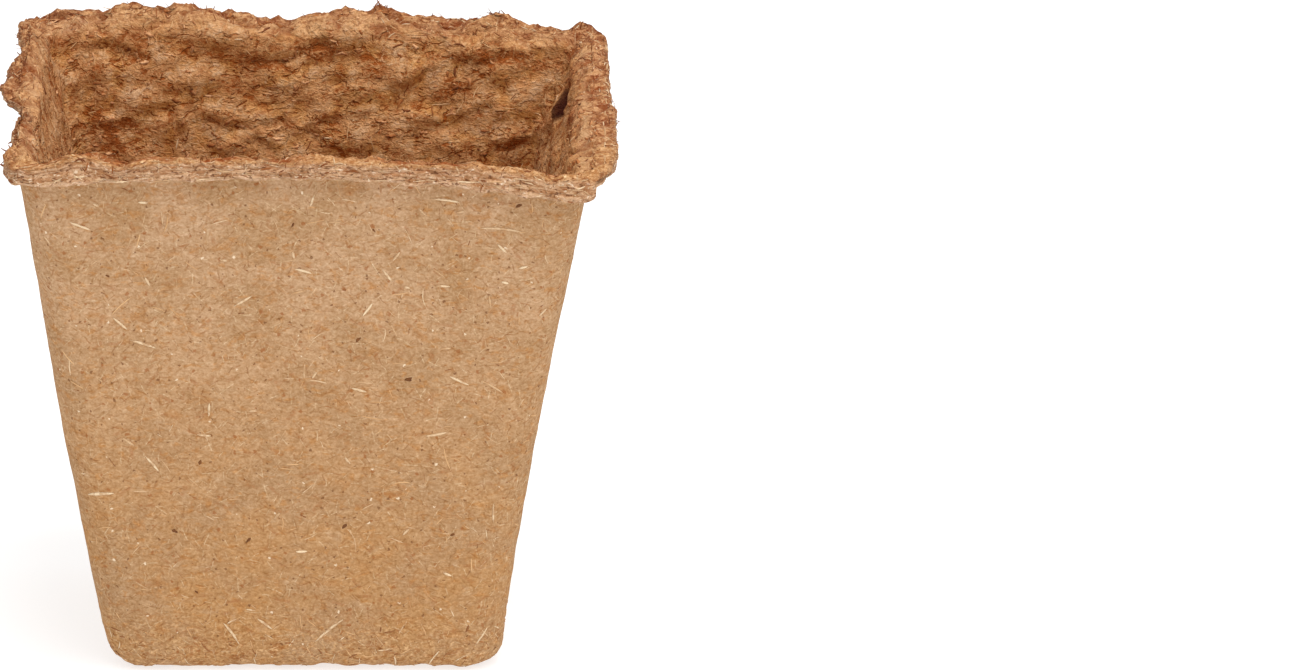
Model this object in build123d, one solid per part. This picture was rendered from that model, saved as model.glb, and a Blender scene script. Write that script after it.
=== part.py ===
"""Square tapered peat pot: moulded pulp shell with pressed-in slivers and bark flecks.

Millimetres, +Z up, front wall toward -Y, origin at the centre of the underside.
"""
import math
import os
import random

from build123d import *

# ---------------------------------------------------------------- driving dimensions
LIP_W = 80.0          # outside width of the turned-out lip, square in plan
WALL_TOP_W = 74.85    # outside width of the walls just under the lip
WALL_BASE_W = 51.3    # outside width of the walls carried down to the underside
LIP_Z = 70.6          # underside of the lip
LIP_T = 2.4           # thickness of the lip at its cut edge
WALL_T = 2.1          # wall thickness, square to the wall
FLOOR_T = 2.3         # floor thickness
TOP_R = 5.0           # vertical corner radius under the lip
BASE_R = 6.0          # vertical corner radius at the underside
LIP_R = 5.0           # lip corner radius in plan
FOOT_R = 4.5          # outside radius where the walls turn into the floor
INNER_FOOT_R = 3.0    # inside radius where the walls turn into the floor
SHOULDER_R = 3.0      # inside radius where the wall turns out into the lip
LIP_EDGE_R = 0.4      # softened top and bottom edges of the lip
DRAIN_D = 8.0         # drain hole through the floor

SLIVER_SINK = 0.30    # how deep a sliver sits in the felt
SLIVER_PROUD = 0.08   # how far it stands out of the felt
FLECK_SINK = 0.30
FLECK_PROUD = 0.05

SPREAD = (WALL_TOP_W - WALL_BASE_W) / 2.0
TAPER = math.atan2(SPREAD, LIP_Z)               # lean of the walls from the vertical
WALL_H = WALL_T / math.cos(TAPER)               # wall thickness measured level
TOP_Z = LIP_Z + LIP_T


def outer_w(z):
    return WALL_BASE_W + 2.0 * SPREAD * z / LIP_Z


def inner_w(z):
    return outer_w(z) - 2.0 * WALL_H


def corner_r(z):
    return BASE_R + (TOP_R - BASE_R) * z / LIP_Z


def rounded_square(half, radius, z):
    return Plane.XY.offset(z) * RectangleRounded(2.0 * half, 2.0 * half, radius)


def foot_arc(half_at, z_floor, radius, steps):
    """Half-width and height of the turn from the floor up into a leaning wall."""
    zc = z_floor + radius
    yc = half_at(0.0) + (zc * math.sin(TAPER) - radius) / math.cos(TAPER)
    start, end = -math.pi / 2.0, -TAPER
    return [(yc + radius * math.cos(start + (end - start) * i / steps),
             zc + radius * math.sin(start + (end - start) * i / steps)) for i in range(steps + 1)]


def shoulder_arc(half_at, z_top, radius, steps):
    """Half-width and height of the turn from the leaning inner wall out onto the lip."""
    zc = z_top - radius
    yc = half_at(0.0) + (zc * math.sin(TAPER) + radius) / math.cos(TAPER)
    start, end = math.pi - TAPER, math.pi / 2.0
    return [(yc + radius * math.cos(start + (end - start) * i / steps),
             zc + radius * math.sin(start + (end - start) * i / steps)) for i in range(steps + 1)]


def sections(rows, half_at, radius_at):
    """Rounded squares stacked along a profile; the corner keeps its centre while the outline turns."""
    return [rounded_square(half, max(0.6, radius_at(z) + half - half_at(z)), z) for half, z in rows]


# ---------------------------------------------------------------- the moulded felt
out_rows = foot_arc(lambda z: outer_w(z) / 2.0, 0.0, FOOT_R, 7) + [(WALL_TOP_W / 2.0, LIP_Z)]
outside = loft(sections(out_rows, lambda z: outer_w(z) / 2.0, corner_r), ruled=True)

in_rows = (foot_arc(lambda z: inner_w(z) / 2.0, FLOOR_T, INNER_FOOT_R, 5)
           + shoulder_arc(lambda z: inner_w(z) / 2.0, TOP_Z, SHOULDER_R, 6))
in_rows.append((in_rows[-1][0], TOP_Z + 1.0))
hollow = loft(sections(in_rows, lambda z: inner_w(z) / 2.0, lambda z: corner_r(z) - 1.7), ruled=True)

lip = Pos(0, 0, LIP_Z) * extrude(RectangleRounded(LIP_W, LIP_W, LIP_R), LIP_T)
lip = fillet(lip.edges().group_by(Axis.Z)[-1] + lip.edges().group_by(Axis.Z)[0], LIP_EDGE_R)

shell = outside + lip - hollow
shell = shell - Pos(0, 0, -1.0) * extrude(Circle(DRAIN_D / 2.0), FLOOR_T + 2.0)


# ---------------------------------------------------------------- frames on the walls
def wall_plane(side, x, s, inward=False):
    """Frame on a wall: side 0 front, 1 right, 2 back, 3 left; x level, s up the wall from z = 0."""
    z = s * math.cos(TAPER)
    half = (inner_w(z) if inward else outer_w(z)) / 2.0
    sx = -1.0 if inward else 1.0
    normal = Vector(0, -math.cos(TAPER), -math.sin(TAPER)) * sx
    at = Plane(origin=(x, -half, z), x_dir=(sx, 0, 0), z_dir=normal)
    return Rot(0, 0, 90.0 * side) * at.location


def sliver_outline(length, width, skew):
    """Flat splinter with two raked, pointed ends."""
    h, w = length / 2.0, width / 2.0
    rake = min(width * 1.6, length * 0.3)
    return [(-h, -w * 0.2 * skew), (-h + rake, -w), (h - rake * 1.2, -w * 0.9),
            (h, w * 0.25 * skew), (h - rake * 0.9, w), (-h + rake * 0.8, w * 0.85)]


def plate(points, sink, proud):
    return Pos(0, 0, -sink) * extrude(make_face(Polyline(*points, close=True)), sink + proud)


def make_sliver(frame, angle, length, width, skew=1.0, proud=SLIVER_PROUD):
    return frame * Rot(0, 0, angle) * plate(sliver_outline(length, width, skew), SLIVER_SINK, proud)


def make_fleck(frame, angle, size, rng):
    turn = [size * 0.5 * (0.75 + 0.5 * rng.random()) for _ in range(6)]
    pts = [(turn[i] * 1.25 * math.cos(i * math.pi / 3), turn[i] * 0.7 * math.sin(i * math.pi / 3))
           for i in range(6)]
    return frame * Rot(0, 0, angle) * plate(pts, FLECK_SINK, FLECK_PROUD)


# slivers seen on the front wall: level place, height up the wall, turn in degrees, length, width
FRONT_SLIVERS = [
    (-19.9, 31.0, -57, 2.6, 0.46), (-21.0, 48.4, -15, 3.4, 0.39), (8.6, 53.5, -127, 2.2, 0.39),
    (11.2, 58.4, -55, 2.3, 0.33), (19.0, 69.3, -8, 4.1, 0.30), (26.1, 65.2, -8, 5.4, 0.30),
    (15.9, 67.5, -52, 1.3, 0.39), (-7.8, 54.6, 31, 2.8, 0.30), (17.5, 35.2, 3, 2.9, 0.30),
    (13.4, 20.9, 44, 1.3, 0.33), (-5.3, 7.3, -39, 2.4, 0.33), (-9.7, 6.0, -61, 3.5, 0.30),
    (18.9, 14.6, -35, 1.3, 0.33), (3.1, 6.4, 42, 4.9, 0.30), (-13.1, 35.2, -5, 1.8, 0.33),
    (-23.2, 34.2, -36, 1.8, 0.30), (5.8, 31.4, -58, 1.2, 0.33), (-3.6, 23.3, 48, 1.2, 0.33),
    (-0.4, 18.0, 0, 1.5, 0.30), (-28.9, 65.4, -20, 2.9, 0.30), (-26.9, 68.4, -34, 0.9, 0.33),
    (-20.7, 68.8, -6, 1.3, 0.33), (-10.3, 60.5, -18, 1.0, 0.33), (-1.1, 61.3, -83, 1.0, 0.30),
    (1.4, 69.0, 70, 1.5, 0.30), (-24.0, 51.4, -46, 2.4, 0.30), (-20.3, 57.4, -69, 1.4, 0.33),
    (-12.4, 38.9, 81, 1.9, 0.33), (-6.6, 38.7, 0, 1.1, 0.33), (1.5, 43.9, 53, 1.1, 0.33),
    (0.2, 59.0, -18, 2.3, 0.30), (-0.5, 55.9, 14, 2.4, 0.30), (20.8, 67.6, 8, 1.1, 0.30),
    (12.4, 61.2, 51, 1.5, 0.30), (26.3, 62.3, -48, 1.8, 0.30), (13.7, 56.7, -24, 0.9, 0.33),
    (18.5, 56.9, -9, 1.9, 0.30), (24.6, 54.6, -78, 1.9, 0.30), (26.6, 57.4, -25, 1.0, 0.30),
    (20.6, 43.0, -33, 3.0, 0.30), (24.8, 42.3, -38, 3.8, 0.30), (18.7, 47.8, -5, 1.6, 0.30),
    (29.0, 59.6, 7, 1.2, 0.30), (7.4, 41.7, -20, 2.1, 0.30),
]


class Spread:
    """Places pieces on the walls so that no two touch."""

    def __init__(self, seed):
        self.rng = random.Random(seed)
        self.taken = {}

    def free(self, key, x, s, reach):
        return all(math.hypot(x - a, s - b) > reach + r + 0.4 for a, b, r in self.taken.get(key, []))

    def take(self, key, x, s, reach):
        self.taken.setdefault(key, []).append((x, s, reach))

    def place(self, key, reach, low, high, inward):
        for _ in range(400):
            s = self.rng.uniform(low + reach, high - reach)
            z = s * math.cos(TAPER)
            width = inner_w(z) if inward else outer_w(z)
            flat = width / 2.0 - corner_r(z) - reach - 0.3
            x = self.rng.uniform(-flat, flat)
            if self.free(key, x, s, reach):
                self.take(key, x, s, reach)
                return x, s
        return None


places = Spread(20)
WALL_LOW, WALL_HIGH = 5.0, 70.0
INNER_LOW, INNER_HIGH = 7.5, 66.5

wall_slivers = []
for x, s, turn, length, width in FRONT_SLIVERS:
    places.take(("out", 0), x, s, length / 2.0)
    wall_slivers.append(make_sliver(wall_plane(0, x, s), turn, length, width))
for side in (1, 2, 3):
    for _ in range(30):
        length = min(5.0, places.rng.lognormvariate(0.62, 0.42))
        at = places.place(("out", side), length / 2.0, WALL_LOW, WALL_HIGH, False)
        if at:
            wall_slivers.append(make_sliver(wall_plane(side, *at), places.rng.uniform(0, 180), length,
                                            places.rng.uniform(0.30, 0.48), places.rng.choice((-1, 1))))

bark_flecks = []
for side in (0, 1, 2, 3):
    for _ in range(12):
        size = places.rng.uniform(0.55, 1.1)
        at = places.place(("out", side), size * 0.8, WALL_LOW, WALL_HIGH, False)
        if at:
            bark_flecks.append(make_fleck(wall_plane(side, *at), places.rng.uniform(0, 180), size, places.rng))

inner_slivers, inner_bark_flecks = [], []
for side in (0, 1, 2, 3):
    for _ in range(14):
        length = min(4.5, places.rng.lognormvariate(0.70, 0.40))
        at = places.place(("in", side), length / 2.0, INNER_LOW, INNER_HIGH, True)
        if at:
            inner_slivers.append(make_sliver(wall_plane(side, -at[0], at[1], True), places.rng.uniform(0, 180), length,
                                             places.rng.uniform(0.30, 0.45), places.rng.choice((-1, 1))))
    for _ in range(7):
        size = places.rng.uniform(0.6, 1.2)
        at = places.place(("in", side), size * 0.8, INNER_LOW, INNER_HIGH, True)
        if at:
            inner_bark_flecks.append(make_fleck(wall_plane(side, -at[0], at[1], True),
                                                places.rng.uniform(0, 180), size, places.rng))

# splinters lie along the cut edge of the lip, flush with it
lip_slivers = []
for side in (0, 1, 2, 3):
    cursor = -LIP_W / 2.0 + LIP_R + 1.0
    while True:
        cursor += places.rng.uniform(1.6, 5.0)
        length = places.rng.uniform(1.2, 3.2)
        if cursor + length > LIP_W / 2.0 - LIP_R - 1.0:
            break
        up = LIP_Z + LIP_T / 2.0 + places.rng.uniform(-0.45, 0.45)
        frame = Rot(0, 0, 90.0 * side) * Plane(origin=(cursor + length / 2.0, -LIP_W / 2.0, up),
                                               x_dir=(1, 0, 0), z_dir=(0, -1, 0)).location
        lip_slivers.append(make_sliver(frame, places.rng.uniform(-6, 6), length,
                                       places.rng.uniform(0.28, 0.42), places.rng.choice((-1, 1)), 0.0))
        cursor += length

# ---------------------------------------------------------------- seats for the pieces, then the files
groups = {
    "wall_slivers": wall_slivers,
    "inner_slivers": inner_slivers,
    "lip_slivers": lip_slivers,
    "bark_flecks": bark_flecks,
    "inner_bark_flecks": inner_bark_flecks,
}
seated = [solid for items in groups.values() for item in items for solid in item.solids()]
shell = shell.cut(*seated)
body = sorted(shell.solids(), key=lambda one: one.volume)[-1]

os.makedirs("parts", exist_ok=True)
body.label = "pulp_shell"
export_step(body, "parts/pulp_shell.step")
for name, items in groups.items():
    group = Compound(children=[solid for item in items for solid in item.solids()], label=name)
    export_step(group, "parts/%s.step" % name)
    print(name, len(items))
print("shell", round(body.volume), "mm3", body.bounding_box().size)
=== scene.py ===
import math

import bpy
import numpy as np
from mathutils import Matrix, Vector
from mathutils.kdtree import KDTree


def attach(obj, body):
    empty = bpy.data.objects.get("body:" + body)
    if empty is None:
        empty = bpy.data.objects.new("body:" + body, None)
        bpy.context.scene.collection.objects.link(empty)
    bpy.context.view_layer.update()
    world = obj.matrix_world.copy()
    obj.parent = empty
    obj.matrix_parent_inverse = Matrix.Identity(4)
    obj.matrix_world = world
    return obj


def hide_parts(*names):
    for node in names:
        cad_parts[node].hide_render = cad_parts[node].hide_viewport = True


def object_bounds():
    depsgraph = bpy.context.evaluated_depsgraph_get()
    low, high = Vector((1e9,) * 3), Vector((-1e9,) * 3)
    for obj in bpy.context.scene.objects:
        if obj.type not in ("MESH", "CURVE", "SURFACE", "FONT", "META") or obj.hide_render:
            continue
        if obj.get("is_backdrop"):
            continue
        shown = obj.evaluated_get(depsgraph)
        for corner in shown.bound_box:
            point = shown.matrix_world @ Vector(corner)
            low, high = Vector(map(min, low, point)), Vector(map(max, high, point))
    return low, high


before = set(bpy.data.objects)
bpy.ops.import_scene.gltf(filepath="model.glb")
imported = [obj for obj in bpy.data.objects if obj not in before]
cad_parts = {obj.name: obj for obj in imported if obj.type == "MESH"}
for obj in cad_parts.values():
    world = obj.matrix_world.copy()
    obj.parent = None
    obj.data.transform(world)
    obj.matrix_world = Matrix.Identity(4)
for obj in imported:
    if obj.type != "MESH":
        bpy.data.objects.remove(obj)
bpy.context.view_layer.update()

MM = 0.001
scene = bpy.context.scene

# ------------------------------------------------------------------ dimensions, millimetres
LIP_W, WALL_TOP_W, WALL_BASE_W = 80.0, 74.85, 51.3
LIP_Z, LIP_T, WALL_T, FLOOR_T = 70.6, 2.4, 2.1, 2.3
TOP_R, BASE_R, LIP_R = 5.0, 6.0, 5.0
FOOT_R, INNER_FOOT_R, SHOULDER_R, DRAIN_D = 4.5, 3.0, 3.0, 8.0
SPREAD = (WALL_TOP_W - WALL_BASE_W) / 2.0
TAPER = math.atan2(SPREAD, LIP_Z)
WALL_H = WALL_T / math.cos(TAPER)
TOP_Z = LIP_Z + LIP_T


def outer_half(z):
    return WALL_BASE_W / 2.0 + SPREAD * z / LIP_Z


def inner_half(z):
    return outer_half(z) - WALL_H


def corner_r(z):
    return BASE_R + (TOP_R - BASE_R) * z / LIP_Z


# ------------------------------------------------------------------ noise
GRADS = np.array([(1, 1, 0), (-1, 1, 0), (1, -1, 0), (-1, -1, 0), (1, 0, 1), (-1, 0, 1),
                  (1, 0, -1), (-1, 0, -1), (0, 1, 1), (0, -1, 1), (0, 1, -1), (0, -1, -1)], float)


def noise3(points, size, seed):
    """Smooth noise in about -1..1 whose features are `size` millimetres across."""
    p = np.asarray(points, float) / size + 37.31 + seed * 1.717
    perm = np.random.RandomState(seed).permutation(256)
    perm = np.concatenate([perm, perm, perm])
    cell = np.floor(p).astype(np.int64)
    f = p - cell
    cell &= 255
    w = f * f * f * (f * (f * 6.0 - 15.0) + 10.0)
    out = np.zeros(p.shape[:-1])
    for dx in (0, 1):
        wx = w[..., 0] if dx else 1.0 - w[..., 0]
        for dy in (0, 1):
            wy = w[..., 1] if dy else 1.0 - w[..., 1]
            for dz in (0, 1):
                wz = w[..., 2] if dz else 1.0 - w[..., 2]
                h = perm[perm[perm[(cell[..., 0] + dx) & 255] + ((cell[..., 1] + dy) & 255)]
                         + ((cell[..., 2] + dz) & 255)]
                g = GRADS[h % 12]
                dot = (g[..., 0] * (f[..., 0] - dx) + g[..., 1] * (f[..., 1] - dy)
                       + g[..., 2] * (f[..., 2] - dz))
                out += wx * wy * wz * dot
    return out


def smooth(lo, hi, x):
    t = np.clip((x - lo) / (hi - lo), 0.0, 1.0)
    return t * t * (3.0 - 2.0 * t)


# ------------------------------------------------------------------ the felt as one closed grid
# rows run from the drain hole under the floor, up the outside, over the lip, down the inside
# and back through the hole; columns run round the pot
N_SIDE, N_CORNER = 124, 12
UNDER, FOOT, WALL, BELOW, EDGE, CROWN, SHOULDER, INNER, INFOOT, INFLOOR, HOLE = range(11)

rows = []                       # (half width, height, corner radius, region, blend to circle)


def add(half, z, radius, region, circle=0.0):
    rows.append((half, z, max(0.5, radius), region, circle))


def arc(yc, zc, radius, start, end, steps, skip=1):
    for i in range(skip, steps + 1):
        a = start + (end - start) * i / steps
        yield yc + radius * math.cos(a), zc + radius * math.sin(a)


foot_c = outer_half(0.0) + (FOOT_R * math.sin(TAPER) - FOOT_R) / math.cos(TAPER)
for i in range(9):
    k = i / 8.0
    half = DRAIN_D / 2.0 + (foot_c - DRAIN_D / 2.0) * k
    add(half, 0.0, (1 - k) * half + k * (BASE_R - (outer_half(0.0) - foot_c)), UNDER, (1.0 - k) ** 1.5)
for half, z in arc(foot_c, FOOT_R, FOOT_R, -math.pi / 2, -TAPER, 7):
    add(half, z, corner_r(z) + half - outer_half(z), FOOT)
z_from = rows[-1][1]
for i in range(1, 49):
    z = z_from + (LIP_Z - z_from) * i / 48.0
    add(outer_half(z), z, corner_r(z), WALL)
LIP_HALF = LIP_W / 2.0
for i in range(1, 5):
    half = WALL_TOP_W / 2.0 + (LIP_HALF - 0.5 - WALL_TOP_W / 2.0) * i / 4.0
    add(half, LIP_Z, LIP_R + half - LIP_HALF, BELOW)
for half, z in arc(LIP_HALF - 0.5, LIP_Z + 0.5, 0.5, -math.pi / 2, 0.0, 3):
    add(half, z, LIP_R + half - LIP_HALF, EDGE)
for i in range(1, 8):
    add(LIP_HALF, LIP_Z + 0.5 + (LIP_T - 0.9) * i / 7.0, LIP_R, EDGE)
for half, z in arc(LIP_HALF - 0.4, TOP_Z - 0.4, 0.4, 0.0, math.pi / 2, 4):
    add(half, z, LIP_R + half - LIP_HALF, EDGE)
sh_c = inner_half(0.0) + ((TOP_Z - SHOULDER_R) * math.sin(TAPER) + SHOULDER_R) / math.cos(TAPER)
for i in range(1, 6):
    half = LIP_HALF - 0.4 + (sh_c - LIP_HALF + 0.4) * i / 5.0
    add(half, TOP_Z, LIP_R + half - LIP_HALF, CROWN)
for half, z in arc(sh_c, TOP_Z - SHOULDER_R, SHOULDER_R, math.pi / 2, math.pi - TAPER, 12):
    add(half, z, corner_r(z) - 1.7 + half - inner_half(z), SHOULDER)
z_from = rows[-1][1]
z_mid, z_to = 38.0, FLOOR_T + INNER_FOOT_R - INNER_FOOT_R * math.sin(TAPER)
for i in range(1, 51):
    z = z_from + (z_mid - z_from) * i / 50.0
    add(inner_half(z), z, corner_r(z) - 1.7, INNER)
for i in range(1, 17):
    z = z_mid + (z_to - z_mid) * i / 16.0
    add(inner_half(z), z, corner_r(z) - 1.7, INNER)
in_zc = FLOOR_T + INNER_FOOT_R
in_c = inner_half(0.0) + (in_zc * math.sin(TAPER) - INNER_FOOT_R) / math.cos(TAPER)
for half, z in arc(in_c, in_zc, INNER_FOOT_R, -TAPER, -math.pi / 2, 5):
    add(half, z, corner_r(z) - 1.7 + half - inner_half(z), INFOOT)
for i in range(1, 11):
    k = 1.0 - i / 10.0
    half = DRAIN_D / 2.0 + (in_c - DRAIN_D / 2.0) * k
    add(half, FLOOR_T, (1 - k) * half + k * 2.0, INFLOOR, (1.0 - k) ** 1.5)
for i in range(1, 4):
    add(DRAIN_D / 2.0, FLOOR_T * (1.0 - i / 4.0), DRAIN_D / 2.0, HOLE, 1.0)

R_N = len(rows)
HALF = np.array([r[0] for r in rows])
ZROW = np.array([r[1] for r in rows])
CRAD = np.minimum(np.array([r[2] for r in rows]), HALF * 0.999)
REGION = np.array([r[3] for r in rows])
CIRC = np.array([r[4] for r in rows])

per_side = N_SIDE + N_CORNER
C_N = 4 * per_side
quarter_t = np.concatenate([np.linspace(-1, 1, N_SIDE, endpoint=False), np.ones(N_CORNER)])
quarter_a = np.concatenate([np.zeros(N_SIDE), np.linspace(0, math.pi / 2, N_CORNER, endpoint=False)])
COL_SIDE = np.repeat(np.arange(4), per_side)
COL_T = np.tile(quarter_t, 4)
COL_A = np.tile(quarter_a, 4)


def outline(half, radius, circle):
    flat = half - radius
    x = quarter_t * flat + radius * np.sin(quarter_a)
    y = -flat - radius * np.cos(quarter_a)
    if circle > 0.0:
        ang = np.arctan2(y, x)
        x = x * (1 - circle) + half * np.cos(ang) * circle
        y = y * (1 - circle) + half * np.sin(ang) * circle
    return np.concatenate([x, -y, -x, y]), np.concatenate([y, x, -y, -x])


BASE = np.zeros((R_N, C_N, 3))
for i in range(R_N):
    BASE[i, :, 0], BASE[i, :, 1] = outline(HALF[i], CRAD[i], CIRC[i])
    BASE[i, :, 2] = ZROW[i]


def grid_normals(grid):
    du = np.roll(grid, -1, 1) - np.roll(grid, 1, 1)
    dv = np.roll(grid, -1, 0) - np.roll(grid, 1, 0)
    n = np.cross(du, dv)
    return n / np.maximum(np.linalg.norm(n, axis=2, keepdims=True), 1e-9)


NORM = grid_normals(BASE)

# place round the rim, 0..4: front left to right, right side front to back, back right to left, left back to front
lip_x, lip_y = outline(LIP_HALF, LIP_R, 0.0)
place = np.where(-lip_y >= np.abs(lip_x), (lip_x + LIP_HALF) / LIP_W,
                 np.where(lip_x >= np.abs(lip_y), 1 + (lip_y + LIP_HALF) / LIP_W,
                          np.where(lip_y >= np.abs(lip_x), 2 + (LIP_HALF - lip_x) / LIP_W,
                                   3 + (LIP_HALF - lip_y) / LIP_W)))


def round_rim(front, right, back, left, soft=1):
    """Values along the rim from (millimetre, value) pairs on each side."""
    ps, vs = [], []
    for off, sign, pairs in ((0, 1, front), (1, 1, right), (2, -1, back), (3, -1, left)):
        for at, value in pairs:
            ps.append(off + (LIP_HALF + sign * at) / LIP_W)
            vs.append(value)
    order = np.argsort(ps)
    ps, vs = np.array(ps)[order], np.array(vs)[order]
    out = np.interp(place, np.concatenate([ps - 4, ps, ps + 4]), np.concatenate([vs, vs, vs]))
    for _ in range(soft):
        out = (np.roll(out, 1) + 2 * out + np.roll(out, -1)) / 4.0
    return out


# the rim is not level: it sags to the right and is torn into bumps and dips
rim_top = round_rim(
    [(-40, 0.4), (-36, 0.3), (-34, 0.5), (-28.5, 1.9), (-25, 0.7), (-22.5, 0.5), (-19, 1.2), (-15, 1.2), (-10, 1.1),
     (-5, 1.35), (0, 1.0), (4, 1.3), (8, 0.9), (12, 0.75), (16, 0.6), (21, 0.6), (25, 0.2), (28, -0.2), (31, -0.9),
     (33, -1.2), (36, -0.9), (39, -1.4)],
    [(-38, -1.6), (-30, -1.5), (-20, -1.3), (-10, -1.2), (0, -1.5), (10, -1.8), (20, -1.8), (30, -1.9), (38, -2.1)],
    [(39.5, -2.0), (36.5, -1.2), (34, -2.1), (32.4, -2.1), (29.2, -1.6), (25.9, 0.0), (22.7, -0.7), (17.8, -0.85),
     (16.2, -0.55), (12.9, -0.15), (11.3, 0.55), (9.7, 1.25), (6.5, 0.15), (4.8, 0.7), (3.2, 0.4), (0, 0.15),
     (-2.4, -0.7), (-4.9, -0.3), (-7.3, -0.55), (-9.7, 0.3), (-13, 0.4), (-16.2, 1.1), (-20, 1.1), (-24.3, 1.2),
     (-30.8, 0.4), (-34.1, 1.0), (-35.7, -0.1), (-39, -0.7)],
    [(38, -0.5), (33, 0.2), (24, 0.4), (15, 0.8), (3, 0.6), (-10, 0.2), (-20, 0.6), (-30, 0.5), (-39, 0.4)])
rim_low = round_rim(
    [(-40, 0.3), (-34, 0.2), (-30, 0.4), (-20, 0.9), (-8, 1.2), (0, 1.25), (10, 1.0), (20, 0.1), (30, -1.2), (36, -2.1), (39, -2.3)],
    [(-38, -2.3), (-33, -1.7), (-27, -1.1), (-20, -1.0), (0, -1.1), (20, -1.4), (38, -1.7)],
    [(38, -1.7), (28, -1.0), (15, -0.3), (0, 0.2), (-15, 0.7), (-30, 0.6), (-38, 0.0)],
    [(38, 0.0), (20, 0.5), (11, 0.9), (5, 1.7), (-3, 1.9), (-7, 1.7), (-12, 0.9), (-16, 0.5), (-38, 0.3)], 4)
rim_out = round_rim(
    [(-40, 0.0), (-20, 0.1), (0, 0.1), (20, 0.0), (39, 0.0)],
    [(-38, 0.3), (-34, 0.8), (-28, 1.2), (-22, 1.5), (-15, 1.2), (-8, 1.1), (-5, 1.3), (1, 0.7), (9.6, 0.4), (18, 0.3),
     (27, 0.1), (33, 0.1), (38, 0.0)],
    [(38, 0.0), (20, 0.2), (0, -0.1), (-20, 0.2), (-38, 0.0)],
    [(38, -0.7), (30.3, -0.8), (27.9, -1.0), (25.4, -1.5), (23, -1.7), (18.2, -1.5), (15.2, -2.0), (14.2, -0.9), (13.3, -0.45), (10.9, -0.55),
     (8.5, -0.35), (3.6, -0.3), (1.6, 0.35), (-1.2, 0.35), (-3.6, -0.1), (-6.0, -1.0), (-8.0, -2.2), (-10.9, -3.0), (-13.3, -3.9),
     (-15.7, -2.7), (-18.2, -2.1), (-23, -1.7), (-26.5, -2.1), (-28.5, -2.3), (-30.3, -2.0), (-32.7, -1.0), (-37.5, -1.0)])

front_side = smooth(0.02, 0.06, place) * (1.0 - smooth(0.94, 0.98, place))
right_side = smooth(1.04, 1.10, place) * (1.0 - smooth(1.93, 1.99, place))
left_side = smooth(3.02, 3.08, place) * (1.0 - smooth(3.93, 3.98, place))

# a torn hollow under the lip inside the right wall leans back as it rises
right_in = np.where(np.isin(REGION, (INNER, SHOULDER))[:, None] & (BASE[:, :, 0] > 30.0), 1.0, 0.0)
at_z = BASE[:, :, 2]
at_y = BASE[:, :, 1] - (at_z - 66.8) * 0.6
tall = np.exp(-(np.abs(at_z - 66.9) / 2.0) ** 3) * right_in
calm = np.exp(-((at_z - 66.8) / 4.2) ** 4) * right_in * smooth(12.0, 17.0, at_y) * (1.0 - smooth(26.0, 30.0, at_y))

lip_rows = np.isin(REGION, (BELOW, EDGE, CROWN, SHOULDER))
in_lip = lip_rows.astype(float)
# how much of the rim's own movement each row takes
take = np.where(lip_rows, 1.0, 0.0)
wall_rows = REGION == WALL
inner_rows = REGION == INNER
take[wall_rows] = smooth(46.0, LIP_Z, ZROW[wall_rows])
take[inner_rows] = smooth(46.0, TOP_Z - 2.0, ZROW[inner_rows])
level = np.zeros(R_N)           # 0 at the lip's underside, 1 at its crown
level[lip_rows] = np.clip((ZROW[lip_rows] - LIP_Z) / LIP_T, 0, 1)
level[inner_rows] = 0.75
overhang = np.clip((HALF - WALL_TOP_W / 2.0) / (LIP_HALF - WALL_TOP_W / 2.0), 0, 1) * in_lip

POS = BASE.copy()
dz = (rim_low[None, :] * (1 - level[:, None]) + rim_top[None, :] * level[:, None]) * take[:, None]
POS[:, :, 2] += dz
side_n = np.zeros((C_N, 3))
corner_dir = np.stack([np.sin(COL_A), -np.cos(COL_A)], 1)
for k in range(4):
    m = COL_SIDE == k
    c, s = (1, 0, -1, 0)[k], (0, 1, 0, -1)[k]
    side_n[m, 0] = corner_dir[m, 0] * c - corner_dir[m, 1] * s
    side_n[m, 1] = corner_dir[m, 0] * s + corner_dir[m, 1] * c
POS += (rim_out[None, :] * overhang[:, None])[:, :, None] * side_n[None, :, :]

# slow warps of the walls: each wall is a little bowed and never quite straight
bow = noise3(BASE, 46.0, 3) * 0.30 + noise3(BASE, 22.0, 4) * 0.22
bow_take = np.clip(smooth(0.0, 9.0, ZROW), 0, 1) * np.isin(REGION, (FOOT, WALL, BELOW, EDGE, CROWN, SHOULDER, INNER, INFOOT))
POS += side_n[None, :, :] * (bow * bow_take[:, None])[:, :, None]
lean = np.where(np.isin(REGION, (FOOT, WALL, INNER, INFOOT)), np.sin(np.clip(ZROW / 68.0, 0, 1) * math.pi), 0.0)
POS[:, :, 0] -= 0.40 * lean[:, None]
low_left = np.where(np.isin(REGION, (FOOT, WALL)), 1.0 - smooth(8.0, 42.0, ZROW), 0.0)
POS[:, :, 0] -= 0.35 * low_left[:, None] * np.clip(-side_n[:, 0], 0, 1)[None, :]

# the felt of the side walls thickens inside below the lip, most on the right
thick = np.where(REGION == INNER, (1.0 - smooth(63.0, 70.8, ZROW)) * smooth(12.0, 40.0, ZROW), 0.0)
POS[:, :, 0] -= thick[:, None] * (side_n[:, 0] * np.where(side_n[:, 0] > 0, 1.4, 0.8))[None, :]

# the smooth, mould-pressed outside
out_take = np.isin(REGION, (UNDER, FOOT, WALL, BELOW)).astype(float)
fine_out = (noise3(BASE, 5.5, 11) * 0.10 + noise3(BASE, 2.4, 12) * 0.06 + noise3(BASE, 1.5, 13) * 0.045)

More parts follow.
